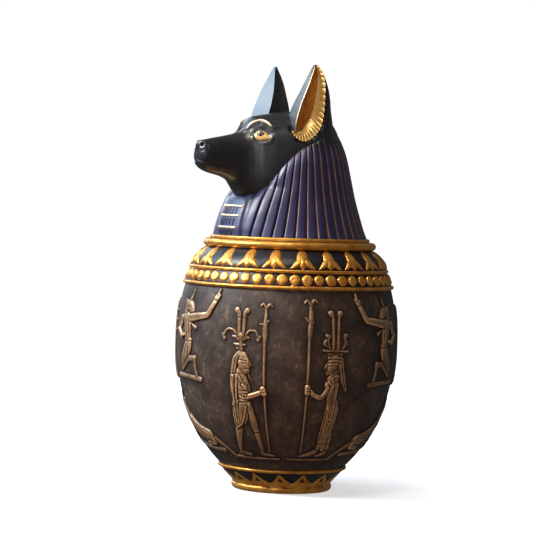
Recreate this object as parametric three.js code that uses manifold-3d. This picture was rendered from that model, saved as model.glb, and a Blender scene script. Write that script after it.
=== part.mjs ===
// Canopic jar of cast resin with a jackal-head lid. Millimetres, +Z up, the jackal faces -Y.
// The origin is the centre of the underside. Angles run from the front (-Y) towards +X.
import * as THREE from 'three';
import { mergeVertices } from 'three/addons/utils/BufferGeometryUtils.js';
import Module from 'manifold-3d';

const wasm = await Module();
wasm.setup();

// Vessel, stacked from the underside up
const FOOT_RADIUS = 35.3;
const FOOT_ROLL_TUBE = 2.75;
const LEAF_BAND_HEIGHT = 9.8;
const FOOT_RING_TUBE = 1.2;
const BODY_FOOT_RADIUS = 44.2;
const BODY_HEIGHT = 125.4;
const BELLY_RADIUS = 77;
const BELLY_RISE = 85.3;
const SHOULDER_RADIUS = 72.4;
const BEAD_RING_TUBE = 1.3;
const BEAD_BAND_HEIGHT = 8.5;
const COLLAR_RADIUS = 68.9;
const LOTUS_BAND_HEIGHT = 13.1;
const RIM_RADIUS = 58;
const RIM_TUBE = 2.7;
const MOUTH_RADIUS = 50;
const WALL = 6;
const FLOOR = 8;
const NECK_DEPTH = 7.2;

// Ornament of the bands
const LEAF_COUNT = 15;
const LEAF_WIDTH = 12.5;
const BEAD_COUNT = 52;
const BEAD_RADIUS = 3.6;
const BEAD_RAISE = 1.5;
const LOTUS_COUNT = 22;
const LOTUS_WIDTH = 17;
const BAND_RAISE = 0.9;

// Figures in relief
const PAIR_ANGLE = 56;
const RELIEF_RAISE = 1.8;
const RELIEF_SINK = 2;

// Lid
const SEAT_GAP = 0.3;
const PLUG_CLEARANCE = 0.8;
const PLUG_DEPTH = 7;
const LIP_RADIUS = 56.1;
const LIP_THICKNESS = 2.3;
const LID_HEIGHT = 123.3;
const GROOVES_PER_SIDE = 19;
const CHEST_ANGLE = 16.5;
const GROOVE_DEPTH = 1.3;

// Fineness of the facets
const ROUND_SIDES = 28;
const CAVITY_SIDES = 18;
const BEAD_SIDES = 5;
const WALL_STEPS = 7;
const CAVITY_STEPS = 5;

const BLACK = new THREE.MeshStandardMaterial({ color: 0x17171b, roughness: 0.3, metalness: 0.1 });
const BRONZE = new THREE.MeshStandardMaterial({ color: 0x45372f, roughness: 0.55, metalness: 0.35 });

// Heights that follow from the stack
const LEAF_BAND_Z = 2 * FOOT_ROLL_TUBE;
const FOOT_RING_Z = LEAF_BAND_Z + LEAF_BAND_HEIGHT + FOOT_RING_TUBE;
const BODY_Z = FOOT_RING_Z + FOOT_RING_TUBE;
const BELLY_Z = BODY_Z + BELLY_RISE;
const SHOULDER_Z = BODY_Z + BODY_HEIGHT;
const BEAD_RING_Z = SHOULDER_Z + BEAD_RING_TUBE;
const BEAD_BAND_Z = BEAD_RING_Z + BEAD_RING_TUBE;
const COLLAR_RING_Z = BEAD_BAND_Z + BEAD_BAND_HEIGHT + FOOT_RING_TUBE;
const LOTUS_BAND_Z = COLLAR_RING_Z + FOOT_RING_TUBE;
const RIM_Z = LOTUS_BAND_Z + LOTUS_BAND_HEIGHT + RIM_TUBE;
const RIM_TOP = RIM_Z + RIM_TUBE;
const SEAT_Z = RIM_TOP + SEAT_GAP;
const RADIANS = Math.PI / 180;

const lerp = THREE.MathUtils.lerp;
const clamp = THREE.MathUtils.clamp;

// Value at x on a short list of [x, value] knots
function follow(knots, x) {
  const last = knots.length - 1;
  if (x <= knots[0][0]) return knots[0][1];
  if (x >= knots[last][0]) return knots[last][1];
  const i = knots.findIndex((knot) => knot[0] > x);
  const [x0, v0] = knots[i - 1];
  const [x1, v1] = knots[i];
  return lerp(v0, v1, (x - x0) / (x1 - x0));
}

// Closed solid from corner points and faces, turned the right way out
function solid(points, faces) {
  const geometry = new THREE.BufferGeometry();
  const flat = faces.flatMap((face) => face.flatMap((corner) => points[corner]));
  geometry.setAttribute('position', new THREE.Float32BufferAttribute(flat, 3));
  return solidOf(geometry);
}

function solidOf(geometry) {
  geometry.deleteAttribute('normal');
  geometry.deleteAttribute('uv');
  const merged = mergeVertices(geometry, 1e-4);
  const vertProperties = new Float32Array(merged.attributes.position.array);
  const triVerts = new Uint32Array(merged.index.array).slice();
  const body = new wasm.Manifold(new wasm.Mesh({ numProp: 3, vertProperties, triVerts }));
  if (body.volume() > 0) return body;
  for (let i = 0; i < triVerts.length; i += 3) {
    [triVerts[i], triVerts[i + 1]] = [triVerts[i + 1], triVerts[i]];
  }
  return new wasm.Manifold(new wasm.Mesh({ numProp: 3, vertProperties, triVerts }));
}

// Joins many solids in pairs, which keeps each step small
function joined(solids) {
  let level = solids;
  while (level.length > 1) {
    const next = [];
    for (let i = 0; i < level.length; i += 2) {
      next.push(i + 1 < level.length ? level[i].add(level[i + 1]) : level[i]);
    }
    level = next;
  }
  return level[0];
}

// Solid of revolution about Z from [radius, z] points that start and end on the axis
function turned(profile, sides) {
  const geometry = new THREE.LatheGeometry(profile.map(([r, z]) => new THREE.Vector2(r, z)), sides);
  geometry.rotateX(Math.PI / 2);
  return solidOf(geometry);
}

// Half-round moulding points, from below to above
function roll(radius, z, tube, steps) {
  return Array.from({ length: steps + 1 }, (_, i) => {
    const angle = lerp(-90, 90, i / steps) * RADIANS;
    return [radius + tube * Math.cos(angle), z + tube * Math.sin(angle)];
  });
}

// Outlines of the vessel
function bodyRadius(z) {
  if (z < BELLY_Z) {
    const t = (BELLY_Z - z) / BELLY_RISE;
    const shrink = 1 - (BODY_FOOT_RADIUS / BELLY_RADIUS) ** 2;
    return BELLY_RADIUS * Math.sqrt(1 - shrink * clamp(t, 0, 1) ** 2);
  }
  const t = (z - BELLY_Z) / (SHOULDER_Z - BELLY_Z);
  return lerp(BELLY_RADIUS, SHOULDER_RADIUS, clamp(t, 0, 1) ** 2.4);
}

function leafRadius(z) {
  const t = clamp((z - LEAF_BAND_Z) / LEAF_BAND_HEIGHT, 0, 1);
  return lerp(FOOT_RADIUS - FOOT_ROLL_TUBE / 2, BODY_FOOT_RADIUS - 0.3, t ** 1.1);
}

function beadRadius(z) {
  const t = clamp((z - BEAD_BAND_Z) / BEAD_BAND_HEIGHT, 0, 1);
  return lerp(SHOULDER_RADIUS, COLLAR_RADIUS, t ** 1.2);
}

function lotusRadius(z) {
  const t = clamp((z - LOTUS_BAND_Z) / LOTUS_BAND_HEIGHT, 0, 1);
  return lerp(COLLAR_RADIUS - 0.4, RIM_RADIUS + 0.4, t ** 1.75);
}

function sampled(radiusAt, low, high, count) {
  return Array.from({ length: count }, (_, i) => {
    const z = lerp(low, high, i / (count - 1));
    return [radiusAt(z), z];
  });
}

// The body's outline, closer together towards the foot, where it bends most
function bodyOutline(steps, out) {
  return Array.from({ length: steps + 1 }, (_, i) => {
    const z = lerp(BODY_Z, SHOULDER_Z, (i / steps) ** 1.45);
    return [bodyRadius(z) + out, z];
  });
}

function vesselSolid() {
  const outside = [
    [0, 0],
    [FOOT_RADIUS - FOOT_ROLL_TUBE / 2, 0],
    ...roll(FOOT_RADIUS - FOOT_ROLL_TUBE, FOOT_ROLL_TUBE, FOOT_ROLL_TUBE, 4).slice(1, -1),
    ...sampled(leafRadius, LEAF_BAND_Z, LEAF_BAND_Z + LEAF_BAND_HEIGHT, 2),
    ...roll(BODY_FOOT_RADIUS, FOOT_RING_Z, FOOT_RING_TUBE, 2).slice(1, -1),
    ...bodyOutline(WALL_STEPS, 0),
    ...roll(SHOULDER_RADIUS + 0.6, BEAD_RING_Z, BEAD_RING_TUBE, 3).slice(1, -1),
    ...sampled(beadRadius, BEAD_BAND_Z, BEAD_BAND_Z + BEAD_BAND_HEIGHT, 2),
    ...roll(COLLAR_RADIUS + 0.2, COLLAR_RING_Z, FOOT_RING_TUBE, 2).slice(1, -1),
    ...sampled(lotusRadius, LOTUS_BAND_Z, LOTUS_BAND_Z + LOTUS_BAND_HEIGHT, 3),
    ...roll(RIM_RADIUS, RIM_Z, RIM_TUBE, 5).slice(1),
    [0, RIM_TOP],
  ];
  const neckZ = RIM_TOP - NECK_DEPTH;
  const cavity = [
    [0, FLOOR],
    [leafRadius(FLOOR) - WALL, FLOOR],
    ...bodyOutline(CAVITY_STEPS, -WALL),
    [lotusRadius(LOTUS_BAND_Z) - WALL, LOTUS_BAND_Z - WALL / 2],
    [MOUTH_RADIUS, neckZ],
    [MOUTH_RADIUS, RIM_TOP + WALL],
    [0, RIM_TOP + WALL],
  ];
  return turned(outside, ROUND_SIDES).subtract(turned(cavity, CAVITY_SIDES));
}

// A point on a turned surface: angle from the front, height and distance out of the surface
function onSurface(radiusAt, angle, z, out) {
  const r = radiusAt(z) + out;
  return [r * Math.sin(angle), -r * Math.cos(angle), z];
}

// Raised plate with a flat outline of [across, up] points, wrapped on a turned surface
function wrappedPlate(drawn, place, raise) {
  const clockwise = THREE.ShapeUtils.isClockWise(drawn.map(([s, z]) => new THREE.Vector2(s, z)));
  const outline = clockwise ? [...drawn].reverse() : drawn;
  const contour = outline.map(([s, z]) => new THREE.Vector2(s, z));
  const caps = THREE.ShapeUtils.triangulateShape(contour, []);
  const n = outline.length;
  const points = [...outline.map((p) => place(p, raise)), ...outline.map((p) => place(p, -RELIEF_SINK))];
  const faces = [];
  for (const [a, b, c] of caps) faces.push([a, b, c], [n + c, n + b, n + a]);
  for (let i = 0; i < n; i += 1) {
    const j = (i + 1) % n;
    faces.push([i, n + i, n + j], [i, n + j, j]);
  }
  return solid(points, faces);
}

// Raised stroke through [across, up, half width] stations, wrapped on a turned surface
function wrappedStroke(stations, place, raise) {
  const left = [];
  const right = [];
  stations.forEach(([s, z, w], i) => {
    const before = stations[Math.max(i - 1, 0)];
    const after = stations[Math.min(i + 1, stations.length - 1)];
    const ds = after[0] - before[0];
    const dz = after[1] - before[1];
    const length = Math.hypot(ds, dz);
    left.push([s - (w * dz) / length, z + (w * ds) / length]);
    right.unshift([s + (w * dz) / length, z - (w * ds) / length]);
  });
  const n = stations.length;
  const outline = [...left, ...right];
  const total = outline.length;
  const points = [...outline.map((p) => place(p, raise)), ...outline.map((p) => place(p, -RELIEF_SINK))];
  const faces = [];
  for (let i = 0; i < n - 1; i += 1) {
    const far = total - 1 - i;
    faces.push([i, i + 1, far - 1], [i, far - 1, far]);
    faces.push([total + i, total + far - 1, total + i + 1], [total + i, total + far, total + far - 1]);
  }
  for (let i = 0; i < total; i += 1) {
    const j = (i + 1) % total;
    faces.push([i, total + i, total + j], [i, total + j, j]);
  }
  return solid(points, faces);
}

// Bands of the vessel
function leaves() {
  const reach = LEAF_WIDTH / 2 / leafRadius(LEAF_BAND_Z + LEAF_BAND_HEIGHT);
  const rise = LEAF_BAND_HEIGHT - 0.6;
  const outline = [[-1, rise], [0, 0.8], [1, rise]];
  return Array.from({ length: LEAF_COUNT }, (_, i) => {
    const centre = (PAIR_ANGLE + (i * 360) / LEAF_COUNT) * RADIANS;
    const place = ([s, z], out) => onSurface(leafRadius, centre + s * reach, LEAF_BAND_Z + z, out);
    return wrappedPlate(outline, place, BAND_RAISE / 2);
  });
}

function beads() {
  const z = BEAD_BAND_Z + BEAD_BAND_HEIGHT / 2;
  const lean = Math.atan2(SHOULDER_RADIUS - COLLAR_RADIUS, BEAD_BAND_HEIGHT);
  const profile = [[0, -1], [BEAD_RADIUS, -1], [BEAD_RADIUS * 0.6, BEAD_RAISE], [0, BEAD_RAISE]];
  const bead = turned(profile, BEAD_SIDES);
  return Array.from({ length: BEAD_COUNT }, (_, i) => {
    const angle = (PAIR_ANGLE + ((i + 0.5) * 360) / BEAD_COUNT) * RADIANS;
    const matrix = new THREE.Matrix4().makeTranslation(...onSurface(beadRadius, angle, z, 0));
    matrix.multiply(new THREE.Matrix4().makeRotationZ(angle));
    matrix.multiply(new THREE.Matrix4().makeRotationX(Math.PI / 2 - lean));
    return bead.transform(matrix.elements);
  });
}

// Hanging lotus flower: a dome at the rim and three pointed petals below
function lotusOutline() {
  const half = LOTUS_WIDTH / 2;
  const top = LOTUS_BAND_HEIGHT;
  const side = [[0.4, 1], [0.56, 0.52], [1, 0.05], [0.33, 0.45]];
  const right = side.map(([s, z]) => [s * half, z * top]);
  const left = right.map(([s, z]) => [-s, z]).reverse();
  return [...right, [0, 0.03 * top], ...left];
}

function lotuses() {
  const outline = lotusOutline();
  return Array.from({ length: LOTUS_COUNT }, (_, i) => {
    const centre = (PAIR_ANGLE + ((i + 0.5) * 360) / LOTUS_COUNT) * RADIANS;
    const place = ([s, z], out) =>
      onSurface(lotusRadius, centre + s / COLLAR_RADIUS, LOTUS_BAND_Z + z, out);
    return wrappedPlate(outline, place, BAND_RAISE);
  });
}

// The relief is drawn on a field of this bottom, height and radius and follows the body
const DRAWN_BOTTOM = 17.7;
const DRAWN_HEIGHT = 125.5;
const DRAWN_RADIUS = 77.5;

function drawnPlace(centre, side) {
  return ([s, z], out) => {
    const height = BODY_Z + ((z - DRAWN_BOTTOM) / DRAWN_HEIGHT) * BODY_HEIGHT;
    return onSurface(bodyRadius, centre + (side * s) / DRAWN_RADIUS, height, out);
  };
}

// Walking man with a tall crown who holds a staff, drawn left of the pair's middle
function walkingMan() {
  const head = [[-31.5, 101.5], [-26, 98], [-25.6, 88], [-23, 78.5]];
  const farArm = [[-14.5, 77.2], [-13.4, 73.6], [-24.6, 68.6]];
  const frontLeg = [[-22.4, 60], [-17, 33], [-9.5, 28], [-21, 28], [-25.2, 45]];
  const backLeg = [[-30, 55], [-34, 48], [-38.6, 31.5], [-31, 28], [-45.6, 28], [-41.7, 41]];
  const back = [[-40, 49], [-37.6, 78], [-39.6, 81], [-37.2, 96]];
  return {
    plates: [[...head, ...farArm, ...frontLeg, ...backLeg, ...back]],
    strokes: [
      [[-12.1, 30, 1.1], [-13.2, 50, 1.1], [-14.6, 80, 1.2], [-14.3, 131, 1.6]],
      [[-18, 133.2, 0.8], [-14.3, 130.5, 1.2], [-10.4, 132.9, 0.8]],
      [[-34.8, 131, 1.8], [-32.2, 105, 1.5]],
      [[-28.5, 131, 1.8], [-30.8, 100, 1.5]],
      [[-45, 108.5, 1], [-38.6, 115.8, 1], [-31.6, 108, 1], [-24.6, 115.8, 1], [-18.6, 108.5, 1]],
    ],
  };
}

// Woman in a long dress with a crown on a flat plate who holds a staff, right of the middle
function standingWoman() {
  const face = [[28.4, 102.6], [27.8, 93.5], [29.8, 89], [27.8, 82.5], [25, 74.6]];
  const farArm = [[17, 78.2], [15.6, 74.8], [25, 69.4], [29.8, 72.6]];
  const dress = [[28.4, 55], [30, 34], [18, 28], [48, 28], [42.8, 41], [41, 52], [43, 63], [39.5, 75]];
  const hair = [[44.8, 75], [42.6, 88], [39.6, 102.6]];
  return {
    plates: [[...face, ...farArm, ...dress, ...hair]],
    strokes: [
      [[16.9, 30, 1.1], [16.1, 50, 1.1], [15.8, 80, 1.2], [16.6, 134, 1.6]],
      [[12.8, 136.4, 0.8], [16.6, 133.4, 1.2], [21, 137, 0.8]],
      [[30.6, 132, 1.9], [32.6, 101, 1.6]],
      [[37.8, 132, 1.9], [36.2, 101, 1.6]],
      [[26.8, 115, 1.4], [29.5, 103.9, 1.2], [39.5, 103.9, 1.2], [42.4, 115, 1.4]],
    ],
  };
}

// Kneeling figure that raises one arm to the pair, on a short bar
function kneelingFigure() {
  const head = [[-72.8, 121], [-76, 131], [-82, 139], [-85.6, 131.4], [-91.4, 128], [-86.6, 122.4]];
  const fistArm = [[-96.5, 120.6], [-100, 106], [-88, 105], [-88, 109], [-95, 111.5], [-91.5, 115.5]];
  const thigh = [[-83, 103], [-97.6, 86], [-95, 79], [-82, 90.5], [-75.6, 90]];
  const shin = [[-73.6, 79], [-69.8, 79], [-69.2, 92]];
  const raisedArm = [[-74.6, 112], [-58.8, 119.6], [-50.4, 141], [-61.8, 124.2]];
  return {
    plates: [[...head, ...fistArm, ...thigh, ...shin, ...raisedArm]],
    strokes: [[[-100.5, 79.4, 1.8], [-65.5, 79.4, 1.8]]],
  };
}

// Jackal lying on a bar, its tail hanging towards the pair
function lyingJackal() {
  const back = [[-109, 69], [-106, 62], [-94, 49.6], [-74, 43.2], [-57, 34]];
  const tail = [[-47.5, 27.2], [-49.6, 24.8], [-70, 34]];
  const belly = [[-90, 34.5], [-101, 43], [-116, 36], [-110.4, 57.5]];
  const muzzle = [[-117.6, 59.4], [-111.6, 64.4]];
  return {
    plates: [[...back, ...tail, ...belly, ...muzzle]],
    strokes: [[[-117, 33.6, 1.6], [-90, 30.8, 1.7], [-61, 29.6, 1.7]]],
  };
}

// Plain pillar with four cross bars at each side of the vessel, between front and back
function pillar() {
  const bars = [0, 1, 2].map((i) => [[-7.5, 124 - i * 7, 1.6], [7.5, 124 - i * 7, 1.6]]);
  return { plates: [], strokes: [[[0, 129.5, 3.4], [0, 106, 3], [0, 80, 4.6]], ...bars] };
}

// The pair stands on both sides, with attendants at the side that shows
function relief() {
  const parts = [];
  const draw = ({ plates, strokes }, centre, side) => {
    const place = drawnPlace(centre * RADIANS, side);
    for (const outline of plates) parts.push(wrappedPlate(outline, place, RELIEF_RAISE));
    for (const stations of strokes) parts.push(wrappedStroke(stations, place, RELIEF_RAISE * 0.8));
  };
  for (const turn of [0, 180]) {
    draw(walkingMan(), PAIR_ANGLE + turn, 1);
    draw(standingWoman(), PAIR_ANGLE + turn, 1);
    draw(pillar(), PAIR_ANGLE + turn + 90, 1);
  }
  for (const side of [1, -1]) {
    draw(kneelingFigure(), PAIR_ANGLE, side);
    draw(lyingJackal(), PAIR_ANGLE, side);
  }
  return parts;
}

// The head and wig are modelled on a lid of these sizes and follow its lip and height
const MODEL = { lip: 56.1, seat: 175.5, height: 123.3, lipThickness: 2.3 };

function sculpted([x, y, z]) {
  const wide = LIP_RADIUS / MODEL.lip;
  const tall = LID_HEIGHT / MODEL.height;
  return [x * wide, y * wide, SEAT_Z + (z - MODEL.seat) * tall];
}

// Outline of the wig at the back and the sides, and over the chest
const WIG_BACK = [[177.5, 53.9], [183.4, 51.5], [194.5, 47.9], [205.6, 44.6], [220.2, 41.2], [234.9, 37.6],
  [244.2, 33.9], [251.4, 29.6], [256, 24], [260, 16]];
const WIG_FRONT = [[177.5, 54.2], [182, 54], [188, 52.8], [193.5, 51.2], [199, 48.8], [203, 46.9], [207, 44],
  [212, 40]];
// Height of the wig's upper edge by angle from the front
const WIG_EDGE = [[0, 207.5], [12, 207.8], [19, 209.8], [27, 216], [33, 222], [40.5, 228], [49.5, 233.2],
  [57.5, 236.8], [68, 239.8], [84, 243.6], [93, 246], [120, 253.5], [150, 258], [180, 259]];
const EDGE_ROUNDING = 2;
// How far a groove leans back from its foot to the wig's edge
const GROOVE_LEAN = [[16, 4], [33, 8.6], [42, 8.7], [51, 7.7], [59, 5.8], [67, 3.9], [76, 1.6], [84, 0]];

function wigRadius(angle, z) {
  const back = clamp((angle - 12) / 45, 0, 1);
  return lerp(follow(WIG_FRONT, z), follow(WIG_BACK, z), back);
}

function wigSolid() {
  const spacing = (180 - CHEST_ANGLE) / GROOVES_PER_SIDE;
  const half = [0, CHEST_ANGLE / 3, (CHEST_ANGLE * 2) / 3].map((angle) => [angle, 0]);
  for (let i = 0; i < GROOVES_PER_SIDE; i += 1) {
    half.push([CHEST_ANGLE + i * spacing, 1], [CHEST_ANGLE + (i + 0.5) * spacing, 0]);
  }
  const columns = [...half, [180, 1], ...half.slice(1).reverse().map(([angle, cut]) => [-angle, cut])];
  const rows = [0, 0.22, 0.48, 0.76, 1];
  const points = [];
  const foot = MODEL.seat + MODEL.lipThickness / 2;
  for (const [angle, cut] of columns) {
    const side = Math.abs(angle);
    const edge = follow(WIG_EDGE, side);
    const lean = side < CHEST_ANGLE ? 0 : follow(GROOVE_LEAN, side);
    for (const t of rows) {
      const z = lerp(foot, edge, t);
      const turn = Math.sign(angle) * (side + lean * t) * RADIANS;
      const rounded = EDGE_ROUNDING * clamp((t - 0.6) / 0.4, 0, 1) ** 2 * clamp((80 - side) / 20, 0, 1);
      const r = wigRadius(side, z) - rounded - cut * GROOVE_DEPTH * (1 - 0.35 * t);
      points.push([r * Math.sin(turn), -r * Math.cos(turn), z]);
    }
    const inward = Math.sign(angle) * side * RADIANS;
    points.push([14 * Math.sin(inward), 4 - 14 * Math.cos(inward), Math.min(edge + 5, 259)]);
  }
  const rings = rows.length + 1;
  const last = columns.length;
  points.push([0, 0, foot], [0, 4, 250]);
  const low = points.length - 2;
  const faces = [];
  for (let c = 0; c < last; c += 1) {
    const a = c * rings;
    const b = ((c + 1) % last) * rings;
    for (let r = 0; r < rings - 1; r += 1) {
      faces.push([a + r, b + r, b + r + 1], [a + r, b + r + 1, a + r + 1]);
    }
    faces.push([low, b, a], [low + 1, a + rings - 1, b + rings - 1]);
  }
  return solid(points.map(sculpted), faces);
}

// Closed loft through rings of equally many points, with a fan at each end
function loft(rings) {
  const n = rings[0].length;
  const points = rings.flat();
  const faces = [];
  for (let k = 0; k < rings.length - 1; k += 1) {
    for (let i = 0; i < n; i += 1) {
      const a = k * n + i;
      const b = k * n + ((i + 1) % n);
      faces.push([a, b, b + n], [a, b + n, a + n]);
    }
  }
  for (const k of [0, rings.length - 1]) {
    const middle = new THREE.Vector3();
    rings[k].forEach((point) => middle.add(new THREE.Vector3(...point)));
    points.push(middle.divideScalar(n).toArray());
    for (let i = 0; i < n; i += 1) {
      const a = k * n + i;
      const b = k * n + ((i + 1) % n);
      faces.push(k === 0 ? [b, a, points.length - 1] : [a, b, points.length - 1]);
    }
  }
  return solid(points.map(sculpted), faces);
}

// Sections of the head from the nose back: y, half width, top, bottom, height of the widest
const HEAD_SECTIONS = [
  [-78.4, 4.6, 239.6, 227, 233],
  [-76.4, 7.6, 242.6, 222.8, 233.5],
  [-70, 9, 244.2, 220.2, 232.5],
  [-60, 10.2, 246, 218.4, 231],
  [-52.5, 11.4, 247.6, 215.2, 230],
  [-46.5, 12.8, 249.4, 207.6, 229],
  [-42.5, 15, 252, 203, 224],
  [-39.5, 17.2, 257.4, 200, 222],
  [-36, 20, 260.4, 198, 222],
  [-28, 25.6, 261.8, 196, 225],
  [-16, 31, 263.8, 196, 233],
  [-5, 33.6, 265.4, 196, 238],
  [7, 33.4, 266, 200, 240],
  [18, 28.5, 263, 205, 240],
  [29, 17, 255, 215, 238],
];
const HEAD_SIDES = 12;
const HEAD_SQUARENESS = 0.88;

function headSolid() {
  const rings = HEAD_SECTIONS.map(([y, half, top, bottom, waist]) =>
    Array.from({ length: HEAD_SIDES }, (_, i) => {
      const angle = ((i + 0.5) * 2 * Math.PI) / HEAD_SIDES;
      const across = Math.cos(angle);
      const up = Math.sin(angle);
      const x = half * Math.sign(across) * Math.abs(across) ** HEAD_SQUARENESS;
      const reach = up > 0 ? top - waist : waist - bottom;
      return [x, y, waist + reach * Math.sign(up) * Math.abs(up) ** HEAD_SQUARENESS];
    }));
  return loft(rings);
}

// Upright ear: at each height the medial ridge, front edge, inner valley, rear edge and back
const EAR_SECTIONS = [
  { z: 240, ridge: [14, -16], front: [27.6, -16.5], valley: [28.8, -8], rear: [30.4, 2], back: [26, 14] },
  { z: 247, ridge: [13.6, -17], front: [28.4, -18.5], valley: [28, -8], rear: [31.2, 2], back: [26.6, 15] },
  { z: 255, ridge: [13.2, -15.6], front: [28.8, -18.4], valley: [25.2, -6], rear: [31, 4], back: [26.6, 14.8] },
  { z: 266, ridge: [13.4, -12.1], front: [29, -15.8], valley: [22.6, -0.4], rear: [30, 5.6], back: [25.9, 13.4] },
  { z: 279.5, ridge: [16.8, -7.1], front: [28.7, -10.2], valley: [24, 1.6], rear: [29.6, 6.2], back: [27, 10.4] },
  { z: 289, ridge: [20.4, -4.2], front: [27.6, -5.7], valley: [24.6, 1.2], rear: [28.4, 4.6], back: [26.6, 6.6] },
  { z: 297.6, ridge: [24, -1.6], front: [25.6, -1.6], valley: [25, -0.4], rear: [25.8, 0.2], back: [24.8, 0.6] },
];

function earSolid(side) {
  const rings = EAR_SECTIONS.map(({ z, ridge, front, valley, rear, back }) => {
    const crest = [lerp(rear[0], back[0], 0.5) + 0.8, lerp(rear[1], back[1], 0.5)];
    const hollow = [lerp(ridge[0], back[0], 0.5) - 1.2, lerp(ridge[1], back[1], 0.5)];
    const outline = [ridge, front, valley, rear, crest, back, hollow];
    return outline.map(([x, y]) => [side * x, y, z]);
  });
  return loft(rings);
}

// Rounded bar along a path of points, square in section
function bar(path, half) {
  const rings = path.map(([x, y, z], i) => {
    const before = new THREE.Vector3(...path[Math.max(i - 1, 0)]);
    const along = new THREE.Vector3(...path[Math.min(i + 1, path.length - 1)]).sub(before).normalize();
    const out = new THREE.Vector3(x, y, 0).normalize();
    const across = new THREE.Vector3().crossVectors(along, out).normalize();
    const taper = i === 0 || i === path.length - 1 ? 0.4 : 1;
    return [[1, 0], [0, 1], [-1, 0], [0, -1]].map(([a, b]) => [
      x + half * taper * (a * across.x + b * out.x),
      y + half * taper * (a * across.y + b * out.y),
      z + half * taper * a * across.z,
    ]);
  });
  return loft(rings);
}

function almondEye(side) {
  const outline = [[10.6, -40.6, 247.4], [12.4, -38.6, 250.6], [14.6, -35.6, 251.4], [17, -32, 249],
    [18.6, -29.4, 246.8], [15, -34.6, 244.8]];
  const middle = [14.8, -35, 248];
  const ring = (grow, out) => outline.map(([x, y, z]) => [
    side * (lerp(middle[0], x, grow) + out * 0.8),
    lerp(middle[1], y, grow) - out * 0.6,
    lerp(middle[2], z, grow),
  ]);
  return loft([ring(1, -4), ring(1, 1.2), ring(0.5, 2)]);
}

function face() {
  const parts = [];
  for (const side of [1, -1]) {
    const brow = [[4.4, -42.4, 251], [7.5, -39.4, 255.6], [10.4, -36, 258.2], [14, -32, 257], [18, -28.6, 253.6]];
    parts.push(bar(brow.map(([x, y, z]) => [side * x, y, z]), 1.9));
    const lip = [[3.8, -77, 228.2], [7.6, -73.6, 226.8], [8.6, -66, 225.8], [9.8, -58, 225]];
    parts.push(bar(lip.map(([x, y, z]) => [side * x, y, z]), 1.2));
    parts.push(almondEye(side));
    parts.push(earSolid(side));
  }
  parts.push(bar([[-4.8, -75.4, 239.8], [0, -76.6, 240.6], [4.8, -75.4, 239.8]], 2.5));
  return parts;
}

// Panel on the chest: three cross bars with rows of short upright strokes between them
function panel() {
  const place = ([s, z], out) => {
    const r = follow(WIG_FRONT, z) + out;
    return sculpted([r * Math.sin(s / r), -r * Math.cos(s / r), z]);
  };
  const parts = [[198.2, 11.3], [191.6, 10.4], [183.4, 10]].map(([z, half]) =>
    wrappedStroke([[-half, z, 0.8], [0, z, 0.8], [half, z, 0.8]], place, 0.9));
  for (const z of [194.9, 187.5, 180]) {
    for (const s of [-6.8, -3.4, 0, 3.4, 6.8]) {
      parts.push(wrappedStroke([[s - 0.3, z - 1.7, 0.7], [s + 0.3, z + 1.7, 0.7]], place, 0.6));
    }
  }
  return parts;
}

function lidBase() {
  const plug = MOUTH_RADIUS - PLUG_CLEARANCE;
  const edge = LIP_THICKNESS / 2;
  return turned([
    [0, SEAT_Z - PLUG_DEPTH],
    [plug, SEAT_Z - PLUG_DEPTH],
    [plug, SEAT_Z],
    [LIP_RADIUS - edge, SEAT_Z],
    [LIP_RADIUS, SEAT_Z + edge],
    [LIP_RADIUS - edge, SEAT_Z + LIP_THICKNESS],
    [0, SEAT_Z + LIP_THICKNESS],
  ], ROUND_SIDES);
}

function mesh(name, body, material) {
  const { vertProperties, triVerts } = body.getMesh();
  const geometry = new THREE.BufferGeometry();
  geometry.setAttribute('position', new THREE.BufferAttribute(new Float32Array(vertProperties), 3));
  geometry.setIndex(new THREE.BufferAttribute(new Uint32Array(triVerts), 1));
  geometry.computeVertexNormals();
  const piece = new THREE.Mesh(geometry, material);
  piece.name = name;
  return piece;
}

const jar = joined([vesselSolid(), joined([...leaves(), ...beads(), ...lotuses(), ...relief()])]);
const lid = joined([lidBase(), wigSolid(), headSolid(), ...face(), ...panel()]);

const canopicJar = new THREE.Group();
canopicJar.add(mesh('jar', jar, BRONZE), mesh('lid', lid, BLACK));

export default canopicJar;
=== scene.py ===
"""Looks of a cast-resin canopic jar with a jackal-head lid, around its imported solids.

Lengths are millimetres, as on the part, and become metres when a mesh is made.
Angles run from the front (-Y) towards +X. Relief is drawn in strokes of (across, height, half width).
"""

import math

import bpy
import numpy as np
from mathutils import Matrix, Vector


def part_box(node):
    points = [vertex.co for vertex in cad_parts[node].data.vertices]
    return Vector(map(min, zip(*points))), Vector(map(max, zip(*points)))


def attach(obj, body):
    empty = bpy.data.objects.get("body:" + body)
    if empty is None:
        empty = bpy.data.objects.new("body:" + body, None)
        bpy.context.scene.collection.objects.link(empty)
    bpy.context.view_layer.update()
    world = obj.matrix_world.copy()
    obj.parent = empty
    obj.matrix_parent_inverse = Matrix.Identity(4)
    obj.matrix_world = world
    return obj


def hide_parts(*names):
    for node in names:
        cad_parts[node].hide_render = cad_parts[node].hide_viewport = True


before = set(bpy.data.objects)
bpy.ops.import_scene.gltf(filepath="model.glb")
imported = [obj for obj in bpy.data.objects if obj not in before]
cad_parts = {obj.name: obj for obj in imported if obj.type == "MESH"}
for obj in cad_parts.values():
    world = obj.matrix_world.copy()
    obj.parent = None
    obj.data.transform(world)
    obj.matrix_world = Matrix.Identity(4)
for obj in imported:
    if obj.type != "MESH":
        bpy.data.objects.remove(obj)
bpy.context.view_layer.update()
MM = 0.001
JAR_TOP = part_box("jar")[1][2] / MM
rng = np.random.default_rng(11)

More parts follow.
